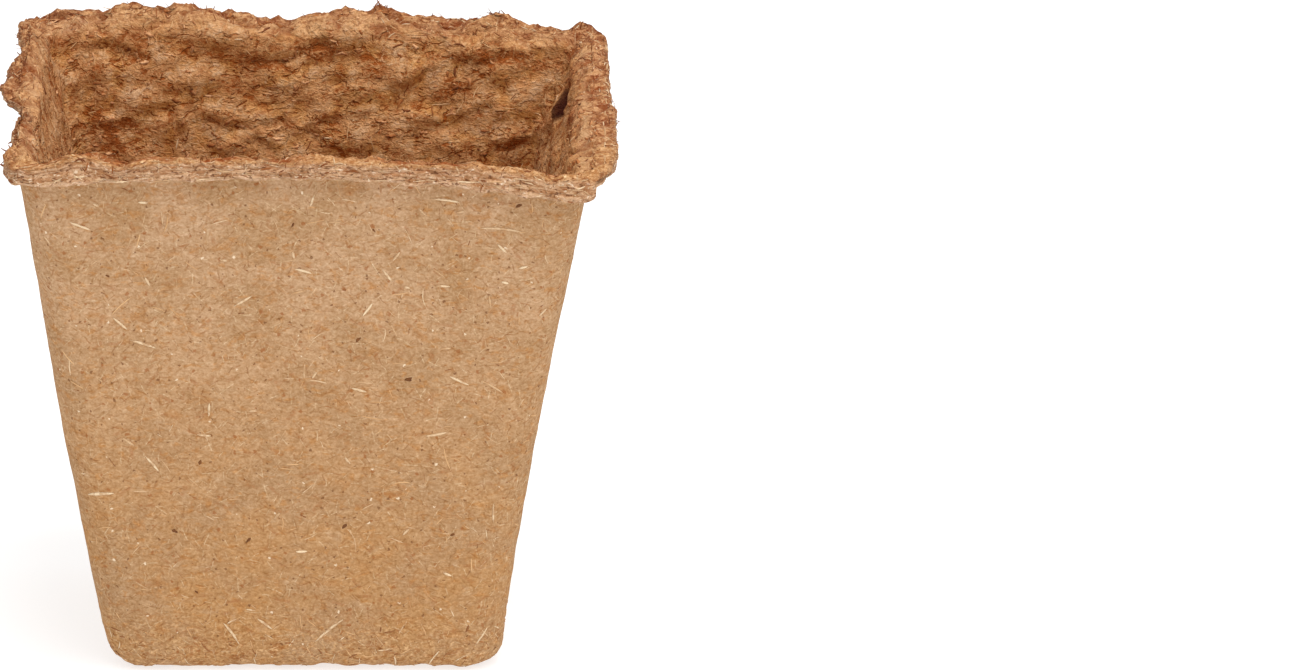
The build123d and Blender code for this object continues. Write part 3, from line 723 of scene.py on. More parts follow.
def pulp_material():
    m = bpy.data.materials.new("moulded_pulp")
    m.use_nodes = True
    net = Net(m.node_tree)
    out = m.node_tree.nodes["Principled BSDF"]
    at = net.uv("surf")
    solid = net.vec("SCALE", net.node("ShaderNodeTexCoord").outputs["Object"], scale=1000.0)
    level_at = net.vec("MULTIPLY", solid, (1.0, 1.0, 1.6))
    flat_at = net.vec("MULTIPLY", at, (0.75, 1.0, 1.0))
    inside, edge, crest = net.attr("inside"), net.attr("edge"), net.attr("crest")
    crease, toasted, height, slit_shade_f = net.attr("crease"), net.attr("toast"), net.attr("height"), net.attr("slit_shade")

    # cloudy felt, coarse to fine
    cloud = net.noise(solid, 0.13, 2.0, 0.5)
    blotch = net.noise(level_at, 0.42, 3.0, 0.6, distort=0.6)
    grain = net.noise(level_at, 1.3, 3.0, 0.65, distort=0.5)
    dust = net.noise(solid, 3.0, 2.0, 0.6)
    stain = net.noise(solid, 0.17, 3.0, 0.6, distort=0.8)
    clump = net.noise(level_at, 0.72, 4.0, 0.62, distort=1.0)
    crumb = net.noise(level_at, 1.9, 3.0, 0.6, distort=0.6)

    # the pressed outside
    hue = net.noise(level_at, 0.75, 2.0, 0.55, distort=0.5)
    outside_c = net.mix(net.ramp(height, 0.05, 0.95), lin(180, 136, 90), lin(189, 152, 117))
    outside_c = net.mix(net.ramp(cloud, 0.35, 0.68), outside_c, lin(175, 137, 99))
    outside_c = net.mix(net.math("MULTIPLY", net.ramp(blotch, 0.53, 0.70), 0.50), outside_c, lin(174, 120, 68))
    outside_c = net.mix(net.math("MULTIPLY", net.ramp(blotch, 0.45, 0.30), 0.40), outside_c, lin(188, 154, 120))
    outside_c = net.mix(net.math("MULTIPLY", net.ramp(hue, 0.55, 0.72), 0.55), outside_c, lin(180, 124, 68))

    # rubbed and more mottled towards the foot
    worn = net.ramp(height, 0.17, 0.02)
    outside_c = net.mix(net.math("MULTIPLY", net.math("MULTIPLY", net.ramp(clump, 0.48, 0.34), worn), 0.70), outside_c, lin(150, 92, 44))
    outside_c = net.mix(net.math("MULTIPLY", net.math("MULTIPLY", net.ramp(crumb, 0.50, 0.66), worn), 0.75), outside_c, lin(216, 174, 126))

    # the open felt inside: rust stains on pale felt, and painted shade that browns the hollows and the faces turned
    # down
    hollow = net.attr("hollow")
    rusty = net.math("ADD", net.math("MULTIPLY", net.ramp(stain, 0.42, 0.64), 0.26), net.math("MULTIPLY", net.ramp(clump, 0.62, 0.36), 0.30))
    rusty = net.math("ADD", rusty, net.math("MULTIPLY", net.ramp(crumb, 0.60, 0.36), 0.20))
    # painted shade in the creases and grooves, and rust-brown along the fold lines
    rusty = net.math("ADD", rusty, net.math("MULTIPLY", crease, net.ramp(grain, 0.3, 0.6, 0.15, 0.45)))
    wisp = net.noise(level_at, 0.17, 3.0, 0.55, distort=1.4)
    line = net.ramp(net.math("ABSOLUTE", net.math("SUBTRACT", wisp, 0.5)), 0.030, 0.004)
    line = net.math("MULTIPLY", line, net.ramp(blotch, 0.44, 0.58))
    rusty = net.math("ADD", rusty, net.math("MULTIPLY", line, 0.50))
    # rust clumps and pools, the two wide ones low on the left painted shade
    rusty = net.math("ADD", rusty, net.math("MULTIPLY", net.attr("rust_and_shade_pool"), net.ramp(clump, 0.66, 0.40, 0.15, 0.52)))
    inside_c = net.mix(net.ramp(rusty, 0.0, 0.46), lin(212, 169, 129), lin(201, 146, 97))
    inside_c = net.mix(net.ramp(rusty, 0.40, 1.0), inside_c, lin(152, 82, 35))
    # painted shade: browner and more saturated in the hollows and on faces turned down
    inside_c = net.mix(hollow, inside_c, net.mix(1.0, inside_c, (1.0, 0.89, 0.58, 1), "MULTIPLY"))
    # painted shade on the right shoulder and the top of the right inner wall
    inside_c = net.mix(net.attr("lee_shade"), inside_c, net.mix(1.0, inside_c, (0.86, 0.74, 0.58, 1), "MULTIPLY"))
    colour = net.mix(inside, outside_c, inside_c)

    # the cut edge shows the felt end-on: thin level streaks, brown crumbs and pale chips
    streak = net.noise(net.vec("MULTIPLY", at, (0.36, 2.8, 1.0)), 1.0, 3.0, 0.62, "2D", 0.5)
    streak_c = net.mix(net.ramp(streak, 0.34, 0.68), lin(172, 121, 82), lin(220, 179, 142))
    bits = net.noise(net.vec("MULTIPLY", at, (0.8, 2.2, 1.0)), 1.25, 2.0, 0.6, "2D", 0.3)
    streak_c = net.mix(net.math("MULTIPLY", net.ramp(bits, 0.60, 0.67), 0.85), streak_c, lin(92, 48, 28))
    streak_c = net.mix(net.math("MULTIPLY", net.ramp(bits, 0.35, 0.29), 0.85), streak_c, lin(244, 220, 192))
    rise = net.attr("rise")
    hem = net.math("MULTIPLY", net.ramp(rise, 0.22, 0.06), net.ramp(grain, 0.3, 0.6, 0.2, 0.75))
    streak_c = net.mix(hem, streak_c, lin(222, 184, 150))
    colour = net.mix(net.math("MULTIPLY", edge, 0.9), colour, streak_c)
    crest_c = net.mix(net.ramp(grain, 0.35, 0.65), lin(150, 88, 45), lin(188, 132, 87))
    crest_c = net.mix(net.math("MULTIPLY", net.ramp(blotch, 0.45, 0.58), 0.7), crest_c, lin(208, 157, 111))
    crest_c = net.mix(net.math("MULTIPLY", net.ramp(clump, 0.52, 0.40), 0.90), crest_c, lin(126, 58, 20))
    # painted highlight: along the front the crest is a lighter gold, as if lit along its edge
    crest_c = net.mix(net.attr("front"), crest_c, net.mix(net.ramp(grain, 0.35, 0.65), lin(178, 121, 70), lin(212, 165, 116)))
    colour = net.mix(net.math("MULTIPLY", net.math("MULTIPLY", crest, net.ramp(net.attr("lee_shade"), 0.0, 0.6, 1.0, 0.1)), 0.85), colour, crest_c)
    # rust and painted shade on the side rims, and the painted shade line behind the front crest
    colour = net.mix(net.math("MULTIPLY", net.attr("rust_and_shade"), net.ramp(clump, 0.66, 0.44, 0.35, 0.95)), colour, lin(140, 70, 28))
    # painted highlight on the tops of the rim lumps and painted shade in the gaps between them
    colour = net.mix(net.math("MULTIPLY", net.attr("knob_highlight"), net.ramp(grain, 0.38, 0.62, 0.1, 0.55)), colour, lin(216, 165, 114))
    colour = net.mix(net.math("MULTIPLY", net.attr("gap"), net.ramp(grain, 0.28, 0.55, 0.35, 0.9)), colour, lin(124, 58, 22))

    # thin rust cracks in the rim
    crack = net.noise(level_at, 0.42, 2.0, 0.5, distort=1.2)
    crack = net.ramp(net.math("ABSOLUTE", net.math("SUBTRACT", crack, 0.5)), 0.034, 0.008)
    crack = net.math("MULTIPLY", net.math("MULTIPLY", crack, net.ramp(hue, 0.46, 0.56)), net.math("MAXIMUM", crest, net.attr("lee_shade")))
    crack = net.math("MULTIPLY", crack, net.ramp(net.attr("front"), 0.0, 1.0, 0.85, 0.3))
    colour = net.mix(crack, colour, lin(112, 46, 14))

    # toasted where the torn rim is thin
    toast_f = net.math("MULTIPLY", toasted, net.ramp(crumb, 0.36, 0.62, 0.1, 1.0))
    colour = net.mix(net.math("MULTIPLY", toast_f, 0.85), colour, lin(118, 58, 28))

    # short strokes of the felt, a little lighter or darker than what is round them
    for cell, width, shift in ((0.80, 0.14, 3.7), (1.10, 0.11, 9.1)):
        o = net.group(FIBRES, Vector=flat_at, Scale=1.0 / cell, Shift=shift, Width=width, Length=0.5, Keep=1.0)
        tint = net.mix(o["Tone"], (0.79, 0.72, 0.60, 1), (1.17, 1.22, 1.30, 1))
        colour = net.mix(net.math("MULTIPLY", o["Mask"], net.ramp(net.attr("flank"), 0.0, 1.0, 0.8, 0.35)), colour, net.mix(1.0, colour, tint, "MULTIPLY"))

    # rusty streaks, brown fibres and pale fibres lying in the skin
    calm_f = net.ramp(net.math("MAXIMUM", net.attr("flank"), net.math("MULTIPLY", inside, 0.4)), 0.0, 1.0, 1.0, 0.4)
    o = net.group(FIBRES, Vector=flat_at, Scale=1.0 / 2.7, Shift=21.7, Width=0.12, Length=0.38, Keep=0.45)
    colour = net.mix(net.math("MULTIPLY", net.math("MULTIPLY", o["Mask"], calm_f), net.ramp(grain, 0.38, 0.62, 0.0, 0.6)), colour,
                     net.mix(inside, lin(154, 100, 58), lin(146, 76, 32)))
    o = net.group(FIBRES, Vector=flat_at, Scale=1.0 / 1.7, Shift=45.9, Width=0.085, Length=0.36, Keep=0.55)
    colour = net.mix(net.math("MULTIPLY", net.math("MULTIPLY", o["Mask"], calm_f), net.ramp(grain, 0.38, 0.60, 0.1, 0.6)), colour,
                     net.mix(inside, lin(150, 98, 54), lin(146, 76, 32)))
    o = net.group(FIBRES, Vector=flat_at, Scale=1.0 / 1.45, Shift=33.1, Width=0.055, Length=0.45, Keep=0.6)
    colour = net.mix(net.math("MULTIPLY", net.math("MULTIPLY", o["Mask"], calm_f), net.ramp(o["Tone"], 0.0, 1.0, 0.2, 0.6, False)), colour,
                     net.mix(inside, lin(140, 93, 56), lin(134, 66, 26)))
    masks = []
    for k, (cell, width, length, keep) in enumerate(((1.5, 0.055, 0.40, 0.60), (2.3, 0.042, 0.36, 0.55), (3.6, 0.030, 0.34, 0.4))):
        o = net.group(FIBRES, Vector=at, Scale=1.0 / cell, Shift=11.3 * (k + 1), Width=width, Length=length, Keep=keep)
        masks.append(net.math("MULTIPLY", o["Mask"], net.ramp(o["Tone"], 0.0, 1.0, 0.15, 0.75, False)))
    pale = net.math("MAXIMUM", net.math("MAXIMUM", masks[0], masks[1]), masks[2])
    pale = net.math("MULTIPLY", net.math("MULTIPLY", pale, calm_f), net.ramp(dust, 0.35, 0.6, 0.35, 1.0))
    colour = net.mix(pale, colour, net.mix(inside, lin(214, 182, 143), lin(230, 180, 126)))

    # fine grain
    colour = net.mix(net.ramp(inside, 0.0, 1.0, 1.0, 0.7), colour,
                     net.mix(1.0, colour, net.mix(net.ramp(grain, 0.28, 0.72, soft=False), (0.81, 0.74, 0.64, 1), (1.16, 1.21, 1.29, 1)), "MULTIPLY"))
    colour = net.mix(1.0, colour, net.mix(net.ramp(dust, 0.28, 0.72, soft=False), (0.86, 0.81, 0.73, 1), (1.13, 1.18, 1.25, 1)), "MULTIPLY")

    # brown crumbs, small and larger, and tiny pale dots that are painted glints
    wobble = net.vec("ADD", at, net.vec("SCALE", net.noise(at, 2.2, 1.0, 0.5, "2D", colour=True), scale=0.5))
    for cell, few, small, large, strength, tint_out, tint_in in (
            (1.45, 0.30, 0.07, 0.16, 0.75, lin(112, 70, 40), lin(100, 46, 16)),
            (2.9, 0.40, 0.06, 0.13, 0.65, lin(150, 88, 42), lin(122, 58, 18)),
            (4.3, 0.30, 0.03, 0.055, 0.85, lin(236, 214, 184), lin(232, 196, 150))):
        speck = net.node("ShaderNodeTexVoronoi", voronoi_dimensions="2D", feature="F1")
        net.put(speck.inputs["Vector"], wobble)
        speck.inputs["Scale"].default_value = 1.0 / cell
        pick = net.node("ShaderNodeSeparateColor")
        net.put(pick.inputs[0], speck.outputs["Color"])
        reach = net.ramp(pick.outputs[1], 0, 1, small, large, False)
        spot = net.math("MULTIPLY", net.math("LESS_THAN", pick.outputs[0], few),
                        net.ramp(speck.outputs["Distance"], reach, net.math("MULTIPLY", reach, 0.45)))
        faint = net.ramp(inside, 0.0, 1.0, strength, strength * 0.65)
        colour = net.mix(net.math("MULTIPLY", spot, faint), colour, net.mix(net.math("MAXIMUM", inside, crest), tint_out, tint_in))
    # painted shade in the torn hollow
    colour = net.mix(slit_shade_f, colour, lin(60, 19, 10))
    net.put(out.inputs["Base Color"], colour)

    net.put(out.inputs["Roughness"], net.ramp(grain, 0.3, 0.7, 0.82, 0.97))
    out.inputs["Specular IOR Level"].default_value = 0.10

    # relief finer than the mesh, in millimetres
    skin_h = net.math("ADD", net.math("MULTIPLY", grain, 0.12), net.math("MULTIPLY", dust, 0.05))
    skin_h = net.math("ADD", skin_h, net.math("MULTIPLY", pale, 0.05))
    felt_h = net.math("ADD", net.math("MULTIPLY", clump, 0.70), net.math("MULTIPLY", crumb, 0.32))
    felt_h = net.math("SUBTRACT", felt_h, net.math("MULTIPLY", line, 0.22))
    h = net.math("ADD", skin_h, net.math("MULTIPLY", felt_h, inside))
    h = net.math("ADD", h, net.math("MULTIPLY", net.math("MULTIPLY", net.math("SUBTRACT", streak, bits), edge), 0.35))
    h = net.math("ADD", h, net.math("MULTIPLY", net.math("MULTIPLY", crumb, crest), 0.35))
    bump = net.node("ShaderNodeBump")
    bump.inputs["Strength"].default_value = 1.0
    bump.inputs["Distance"].default_value = 0.001
    net.put(bump.inputs["Height"], h)
    net.put(out.inputs["Normal"], bump.outputs[0])
    return m


mesh.materials.append(pulp_material())
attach(shell, "root")
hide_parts("pulp_shell")

# ------------------------------------------------------------------ walking on the felt's surface
def bilinear(grid, fi, fj):
    i0 = np.floor(fi).astype(int)
    j0 = np.floor(fj).astype(int)
    a_, b_ = (fi - i0)[..., None], (fj - j0)[..., None]
    i0, i1, j0, j1 = i0 % R_N, (i0 + 1) % R_N, j0 % C_N, (j0 + 1) % C_N
    return ((grid[i0, j0] * (1 - b_) + grid[i0, j1] * b_) * (1 - a_)
            + (grid[i1, j0] * (1 - b_) + grid[i1, j1] * b_) * a_)


T_U = (np.roll(POS, -1, 1) - np.roll(POS, 1, 1)) / 2.0
T_V = (np.roll(POS, -1, 0) - np.roll(POS, 1, 0)) / 2.0
L_U = np.linalg.norm(T_U, axis=2)
L_V = np.linalg.norm(T_V, axis=2)
CELL_AREA = L_U * L_V


def scatter(rng, count, weight):
    """Random places on the grid, by area times weight (rows, columns), none across the torn hollow."""
    w = (CELL_AREA * weight * (1.0 - np.clip(clear * 4.0, 0, 1))).ravel()
    pick = rng.choice(w.size, count, p=w / w.sum())
    return pick // C_N + rng.rand(count), pick % C_N + rng.rand(count)


def walk(fi, fj, turn, length, curl, steps):
    """Points and normals along curved lines on the surface, centred on the start."""
    n = len(fi)
    half = steps // 2
    path_i, path_j = np.zeros((n, steps)), np.zeros((n, steps))
    path_i[:, half], path_j[:, half] = fi, fj
    ds = length / (steps - 1)
    for sign in (1, -1):
        ci, cj, ang = fi.copy(), fj.copy(), turn.copy()
        k = half
        while 0 <= k + sign < steps:
            k += sign
            ang = ang + sign * curl * ds
            lu = np.maximum(bilinear(L_U[:, :, None], ci, cj)[:, 0], 0.12)
            lv = np.maximum(bilinear(L_V[:, :, None], ci, cj)[:, 0], 0.12)
            cj = cj + sign * np.cos(ang) * ds / lu
            ci = ci + sign * np.sin(ang) * ds / lv
            path_i[:, k], path_j[:, k] = ci, cj
    normals = bilinear(NORMALS, path_i, path_j)
    normals /= np.maximum(np.linalg.norm(normals, axis=2, keepdims=True), 1e-9)
    return bilinear(POS, path_i, path_j), normals


def strands(name, pts, nrm, half_w, half_h, tone, profile=None, uneven=None):
    """Closed, flattened strands along point rows; every strand has its own small patch of the map."""
    n, steps, _ = pts.shape
    tan = np.gradient(pts, axis=1)
    tan /= np.maximum(np.linalg.norm(tan, axis=2, keepdims=True), 1e-9)
    side = np.cross(nrm, tan)
    side /= np.maximum(np.linalg.norm(side, axis=2, keepdims=True), 1e-9)
    up = np.cross(tan, side)
    if profile is None:
        profile = np.sin(np.linspace(0.10, math.pi - 0.10, steps)) ** 0.5
        profile[0] = profile[-1] = 0.22
    w = (half_w[:, None] * profile)[:, :, None]
    h = (half_h[:, None] * profile)[:, :, None]
    ring = np.stack([pts - side * w, pts - up * h, pts + side * w, pts + up * h], 2)
    if uneven is not None:
        ring = ring + uneven.normal(0, 1, ring.shape) * (half_w * 0.28)[:, None, None, None]
    ring[:, :, :, 2] += np.maximum(0.0, -ring[:, :, :, 2].min((1, 2)))[:, None, None]
    verts = ring.reshape(-1, 3) * MM
    base = (np.arange(n) * steps * 4)[:, None, None]
    k = np.arange(steps - 1)[None, :, None] * 4
    r = np.arange(4)[None, None, :]
    q = np.stack([base + k + r, base + k + (r + 1) % 4, base + k + 4 + (r + 1) % 4, base + k + 4 + r], 3).reshape(n, -1, 4)
    b0 = np.arange(n)[:, None] * steps * 4
    cap_a = b0 + np.array([3, 2, 1, 0])
    cap_b = b0 + (steps - 1) * 4 + np.array([0, 1, 2, 3])
    faces = np.concatenate([q, cap_a[:, None, :], cap_b[:, None, :]], 1)
    obj = make_object(name, verts, faces.reshape(-1, 4).tolist())
    at = obj.data.attributes.new("tone", "FLOAT", "POINT")
    at.data.foreach_set("value", np.repeat(tone, steps * 4).astype(np.float32))
    # map: one cell per strand, length across it and the four sides up it
    per = int(math.ceil(math.sqrt(n)))
    cell = 1.0 / per
    ku = np.arange(steps - 1)[:, None] / (steps - 1.0)
    kr = np.arange(4)[None, :] / 4.0
    one = np.stack([np.stack([ku + 0 * kr, kr + 0 * ku], 2),
                    np.stack([ku + 0 * kr, kr + 0.25 + 0 * ku], 2),
                    np.stack([ku + 1.0 / (steps - 1) + 0 * kr, kr + 0.25 + 0 * ku], 2),
                    np.stack([ku + 1.0 / (steps - 1) + 0 * kr, kr + 0 * ku], 2)], 2).reshape(-1, 4, 2)
    cap0 = np.array([[[0.0, 0.75], [0.0, 0.5], [0.02, 0.5], [0.02, 0.75]]])
    cap1 = np.array([[[0.98, 0.25], [0.98, 0.5], [1.0, 0.5], [1.0, 0.25]]])
    one = np.concatenate([one, cap0, cap1], 0) * 0.84 + 0.08
    org = np.stack([np.arange(n) % per, np.arange(n) // per], 1)[:, None, None, :]
    uv = (one[None] + org) * cell
    layer = obj.data.uv_layers.new(name="OFBake")
    layer.data.foreach_set("uv", uv.astype(np.float32).ravel())
    return obj


def strand_material(name, dark, light, rough=0.8, buried=None):
    m = bpy.data.materials.new(name)
    m.use_nodes = True
    net = Net(m.node_tree)
    out = m.node_tree.nodes["Principled BSDF"]
    at = net.node("ShaderNodeTexCoord").outputs["Object"]
    vein = net.noise(at, 1900.0, 2.0, 0.6)
    tone = net.math("ADD", net.attr("tone"), net.math("MULTIPLY", net.math("SUBTRACT", vein, 0.5), 0.7))
    colour = net.mix(net.ramp(tone, 0.0, 1.0, soft=False), dark, light)
    if buried:
        patch = net.noise(at, 900.0, 2.0, 0.6)
        colour = net.mix(net.math("MULTIPLY", net.ramp(patch, 0.48, 0.62), 0.75), colour, buried)
    net.put(out.inputs["Base Color"], colour)
    net.put(out.inputs["Roughness"], net.ramp(vein, 0.3, 0.7, rough - 0.1, rough + 0.1))
    out.inputs["Specular IOR Level"].default_value = 0.25
    return m


PALE = strand_material("pale_wood", lin(196, 154, 110), lin(238, 214, 178), 0.7, lin(188, 146, 104))
TAN = strand_material("tan_fibre", lin(180, 130, 82), lin(218, 176, 128), 0.8)
BROWN = strand_material("brown_fibre", lin(126, 77, 42), lin(174, 118, 70), 0.8)
RUST = strand_material("rust_fibre", lin(108, 55, 24), lin(158, 96, 50), 0.8)
CRUMB = strand_material("felt_crumb", lin(172, 106, 54), lin(222, 172, 126), 0.85, lin(150, 84, 36))
BARK = strand_material("dark_bark", lin(92, 52, 24), lin(148, 96, 50), 0.75)


def finish_piece(obj, material, slot, *nodes):
    obj.data.materials.append(material)
    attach(obj, "root")
    if nodes:
        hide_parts(*nodes)


def row_weight(values):
    """Weight per row from {region: weight}."""
    w = np.zeros((R_N, C_N))
    for region, value in values.items():
        w[REGION == region] = value
    return w


# ------------------------------------------------------------------ the pressed-in slivers and flecks
def region_tree(regions):
    pick = np.argwhere(np.isin(REGION, regions))[:, 0]
    tree = KDTree(len(pick) * C_N)
    for i in pick:
        for j in range(C_N):
            tree.insert(POS[i, j], i * C_N + j)
    tree.balance()
    return tree


def node_bits(node):
    """Centre, long direction, length and width of each separate solid in a CAD node, in millimetres."""
    co = np.array([v.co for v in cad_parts[node].data.vertices]) / MM
    keys, inv = np.unique(np.round(co, 2), axis=0, return_inverse=True)
    inv = inv.ravel()
    parent = np.arange(len(keys))

    def root(x):
        while parent[x] != x:
            parent[x] = parent[parent[x]]
            x = parent[x]
        return x

    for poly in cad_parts[node].data.polygons:
        vs = [inv[v] for v in poly.vertices]
        for v in vs[1:]:
            a_, b_ = root(vs[0]), root(v)
            if a_ != b_:
                parent[a_] = b_
    groups = {}
    for k in range(len(keys)):
        groups.setdefault(root(k), []).append(k)
    bits = []
    for ks in groups.values():
        p = keys[ks]
        mid = (p.min(0) + p.max(0)) / 2.0
        _, _, axes = np.linalg.svd(p - p.mean(0))
        ext = [np.ptp((p - mid) @ ax) for ax in axes]
        bits.append((mid, axes[0], ext[0], ext[1]))
    bits.sort(key=lambda one: tuple(np.round(one[0], 2)))
    return bits


def on_surface(bits, tree):
    """Grid place and turn for each bit on the displaced surface."""
    fi, fj, turn = [], [], []
    for mid, axis, _, _ in bits:
        co, idx, _ = tree.find(mid)
        i, j = idx // C_N, idx % C_N
        d = np.asarray(mid) - POS[i, j]
        tu, tv = T_U[i, j], T_V[i, j]
        fi.append(i + float(d @ tv) / max(float(tv @ tv), 1e-6) * 0.98)
        fj.append(j + float(d @ tu) / max(float(tu @ tu), 1e-6) * 0.98)
        turn.append(math.atan2(float(axis @ tv) / math.sqrt(tv @ tv), float(axis @ tu) / math.sqrt(tu @ tu)))
    return np.array(fi), np.array(fj), np.array(turn)


outer_tree = region_tree((FOOT, WALL))
inner_tree = region_tree((INNER,))
edge_tree = region_tree((EDGE,))


def sliver_piece(name, node, tree, seed, lift, material, steps=9, slim=1.0, bright=0.56, off_front=0.0):
    bits = node_bits(node)
    rng = np.random.RandomState(seed)
    fi, fj, turn = on_surface(bits, tree)
    length = np.array([b_[2] for b_ in bits])
    width = np.array([b_[3] for b_ in bits])
    n = len(bits)
    pts, nrm = walk(fi, fj, turn, length, rng.normal(0, 0.03, n), steps)
    pts = pts + nrm * lift
    x = np.linspace(-1, 1, steps)
    profile = np.clip(1.0 - np.abs(x) ** 3.5, 0.16, 1)
    width = width * slim
    tone = rng.normal(bright, 0.24, n) - off_front * np.array([float(b_[0][1] > -38.0) for b_ in bits])
    tone = np.clip(tone, 0.0, 1.0)
    obj = strands(name, pts, nrm, width * 0.46, np.minimum(width * 0.30, 0.13), tone, profile)
    finish_piece(obj, material, "pale_wood" if material is PALE else "bark", node)
    return obj


sliver_piece("wall_sliver_bits", "wall_slivers", outer_tree, 41, 0.02, PALE)
sliver_piece("inner_sliver_bits", "inner_slivers", inner_tree, 42, 0.03, PALE, slim=0.55, bright=0.35)
sliver_piece("lip_sliver_bits", "lip_slivers", edge_tree, 43, 0.0, PALE, slim=0.8, off_front=0.6)


def corner_slivers():
    """Single slivers near the rounded corners of the front wall: across, up the wall, turn, length, width."""
    spots = [(-27.5, 26.3, 9, 3.9, 0.52), (24.7, 23.0, -81, 3.1, 0.33), (23.6, 5.0, 58, 2.8, 0.33),
             (-33.6, 63.0, -56, 1.4, 0.29), (-31.5, 44.9, 83, 2.4, 0.29), (32.1, 52.5, 48, 1.4, 0.33)]
    rng = np.random.RandomState(44)
    fi, fj = [], []
    for x, up, *_ in spots:
        z = up * math.cos(TAPER)
        _, idx, _ = outer_tree.find((x, -outer_half(z), z))
        fi.append(idx // C_N)
        fj.append(idx % C_N)
    n = len(spots)
    turn = np.radians([s[2] for s in spots])
    length, width = np.array([s[3] for s in spots]), np.array([s[4] for s in spots])
    pts, nrm = walk(np.array(fi, float), np.array(fj, float), turn, length, rng.normal(0, 0.05, n), 9)
    profile = np.clip(1.0 - np.abs(np.linspace(-1, 1, 9)) ** 3.5, 0.16, 1)
    obj = strands("corner_sliver_bits", pts + nrm * 0.02, nrm, width * 0.46, np.minimum(width * 0.30, 0.13),
                  np.array([0.95, 0.6, 0.6, 0.5, 0.5, 0.5]), profile)
    finish_piece(obj, PALE, "pale_wood")


corner_slivers()


def fleck_piece(name, node, tree, seed):
    """Irregular flat flakes with a raised middle, closed underneath."""
    bits = node_bits(node)
    rng = np.random.RandomState(seed)
    fi, fj, turn = on_surface(bits, tree)
    n, m = len(bits), 10
    verts, faces, uvs, tone = [], [], [], []
    per = int(math.ceil(math.sqrt(n)))
    for k, (mid, axis, long_, wide) in enumerate(bits):
        p = bilinear(POS, fi[k:k + 1], fj[k:k + 1])[0]
        nn = bilinear(NORMALS, fi[k:k + 1], fj[k:k + 1])[0]
        nn = nn / np.linalg.norm(nn)
        e1 = axis - nn * (axis @ nn)
        e1 /= np.linalg.norm(e1)
        e2 = np.cross(nn, e1)
        ang = np.arange(m) * 2 * math.pi / m
        rad = 1.0 + rng.normal(0, 0.16, m)
        ring = p + (np.cos(ang) * rad * long_ * 0.36)[:, None] * e1 + (np.sin(ang) * rad * wide * 0.36)[:, None] * e2
        inner_ring = p + (ring - p) * 0.55 + nn * 0.07
        base = len(verts)
        verts += list(ring + nn * 0.015) + list(inner_ring) + [p + nn * (0.06 + 0.04 * rng.rand())] + [p - nn * 0.15]
        cx, cy = (k % per + 0.5) / per, (k // per + 0.5) / per
        s = 0.42 / per
        ruv = np.stack([cx + np.cos(ang) * s, cy + np.sin(ang) * s], 1)
        iuv = np.stack([cx + np.cos(ang) * s * 0.55, cy + np.sin(ang) * s * 0.55], 1)
        for q in range(m):
            r2 = (q + 1) % m
            faces.append((base + q, base + r2, base + m + r2, base + m + q))
            uvs += [ruv[q], ruv[r2], iuv[r2], iuv[q]]
            faces.append((base + m + q, base + m + r2, base + 2 * m))
            uvs += [iuv[q], iuv[r2], (cx, cy)]
            faces.append((base + r2, base + q, base + 2 * m + 1))
            uvs += [ruv[r2], ruv[q], (cx, cy)]
        tone += [np.clip(rng.normal(0.4, 0.25), 0, 1)] * (2 * m + 2)
    obj = make_object(name, np.array(verts) * MM, faces)
    at = obj.data.attributes.new("tone", "FLOAT", "POINT")
    at.data.foreach_set("value", np.array(tone, np.float32))
    layer = obj.data.uv_layers.new(name="OFBake")
    layer.data.foreach_set("uv", np.array(uvs, np.float32).ravel())
    finish_piece(obj, BARK, "bark", node)


fleck_piece("bark_fleck_bits", "bark_flecks", outer_tree, 51)
fleck_piece("inner_bark_fleck_bits", "inner_bark_flecks", inner_tree, 52)


# ------------------------------------------------------------------ loose fibres lying in the felt
def lying(name, seed, count, weight, median, spread_, longest, width, lift, material, slot, level_bias=0.0, steps=7,
          tone_mid=0.5, curl=0.28, high=0.30, uneven=False):
    rng = np.random.RandomState(seed)
    fi, fj = scatter(rng, count, weight)
    length = np.clip(np.exp(rng.normal(math.log(median), spread_, count)), 0.5, longest)
    turn = rng.uniform(0, math.pi, count)
    turn = np.where(rng.rand(count) < level_bias, rng.normal(0, 0.22, count), turn)
    pts, nrm = walk(fi, fj, turn, length, rng.normal(0, curl, count), steps)
    rise = np.abs(np.linspace(-1, 1, steps)) ** 2
    lifted = rng.rand(count) < 0.25
    pts = pts + nrm * (lift + (lifted * rng.uniform(0.0, 0.18, count))[:, None] * rise[None, :])[:, :, None]
    w = rng.uniform(width[0], width[1], count) * np.clip(length / median, 0.7, 1.4)
    tone = np.clip(rng.normal(tone_mid, 0.28, count), 0, 1)
    obj = strands(name, pts, nrm, w / 2.0, w * high, tone, uneven=rng if uneven else None)
    finish_piece(obj, material, slot)
    return obj


lying("wall_fibres", 61, 900, row_weight({WALL: 1.0, FOOT: 1.4, UNDER: 0.5}), 1.3, 0.45, 4.0, (0.07, 0.15), -0.01,
      PALE, "pale_wood", 0.2, tone_mid=0.3, curl=0.12)
lying("wall_fibres_tan", 62, 800, row_weight({WALL: 1.0, FOOT: 1.4, UNDER: 0.5}), 1.4, 0.45, 4.0, (0.08, 0.18), -0.02,
      TAN, "pulp", 0.25, tone_mid=0.55, curl=0.14)
lying("wall_fibres_brown", 63, 420, row_weight({WALL: 1.0, FOOT: 1.6, UNDER: 0.5}), 0.7, 0.4, 1.8, (0.08, 0.16), -0.02,
      BROWN, "bark", 0.3, tone_mid=0.6)
lying("inner_fibres", 64, 1000, row_weight({INNER: 1.0, INFOOT: 0.6, INFLOOR: 0.5, SHOULDER: 1.4}) * (1.0 - 0.5 * flank), 1.0, 0.45, 2.6, (0.08, 0.16), 0.0,
      TAN, "pulp", 0.35, tone_mid=0.45, curl=0.15)
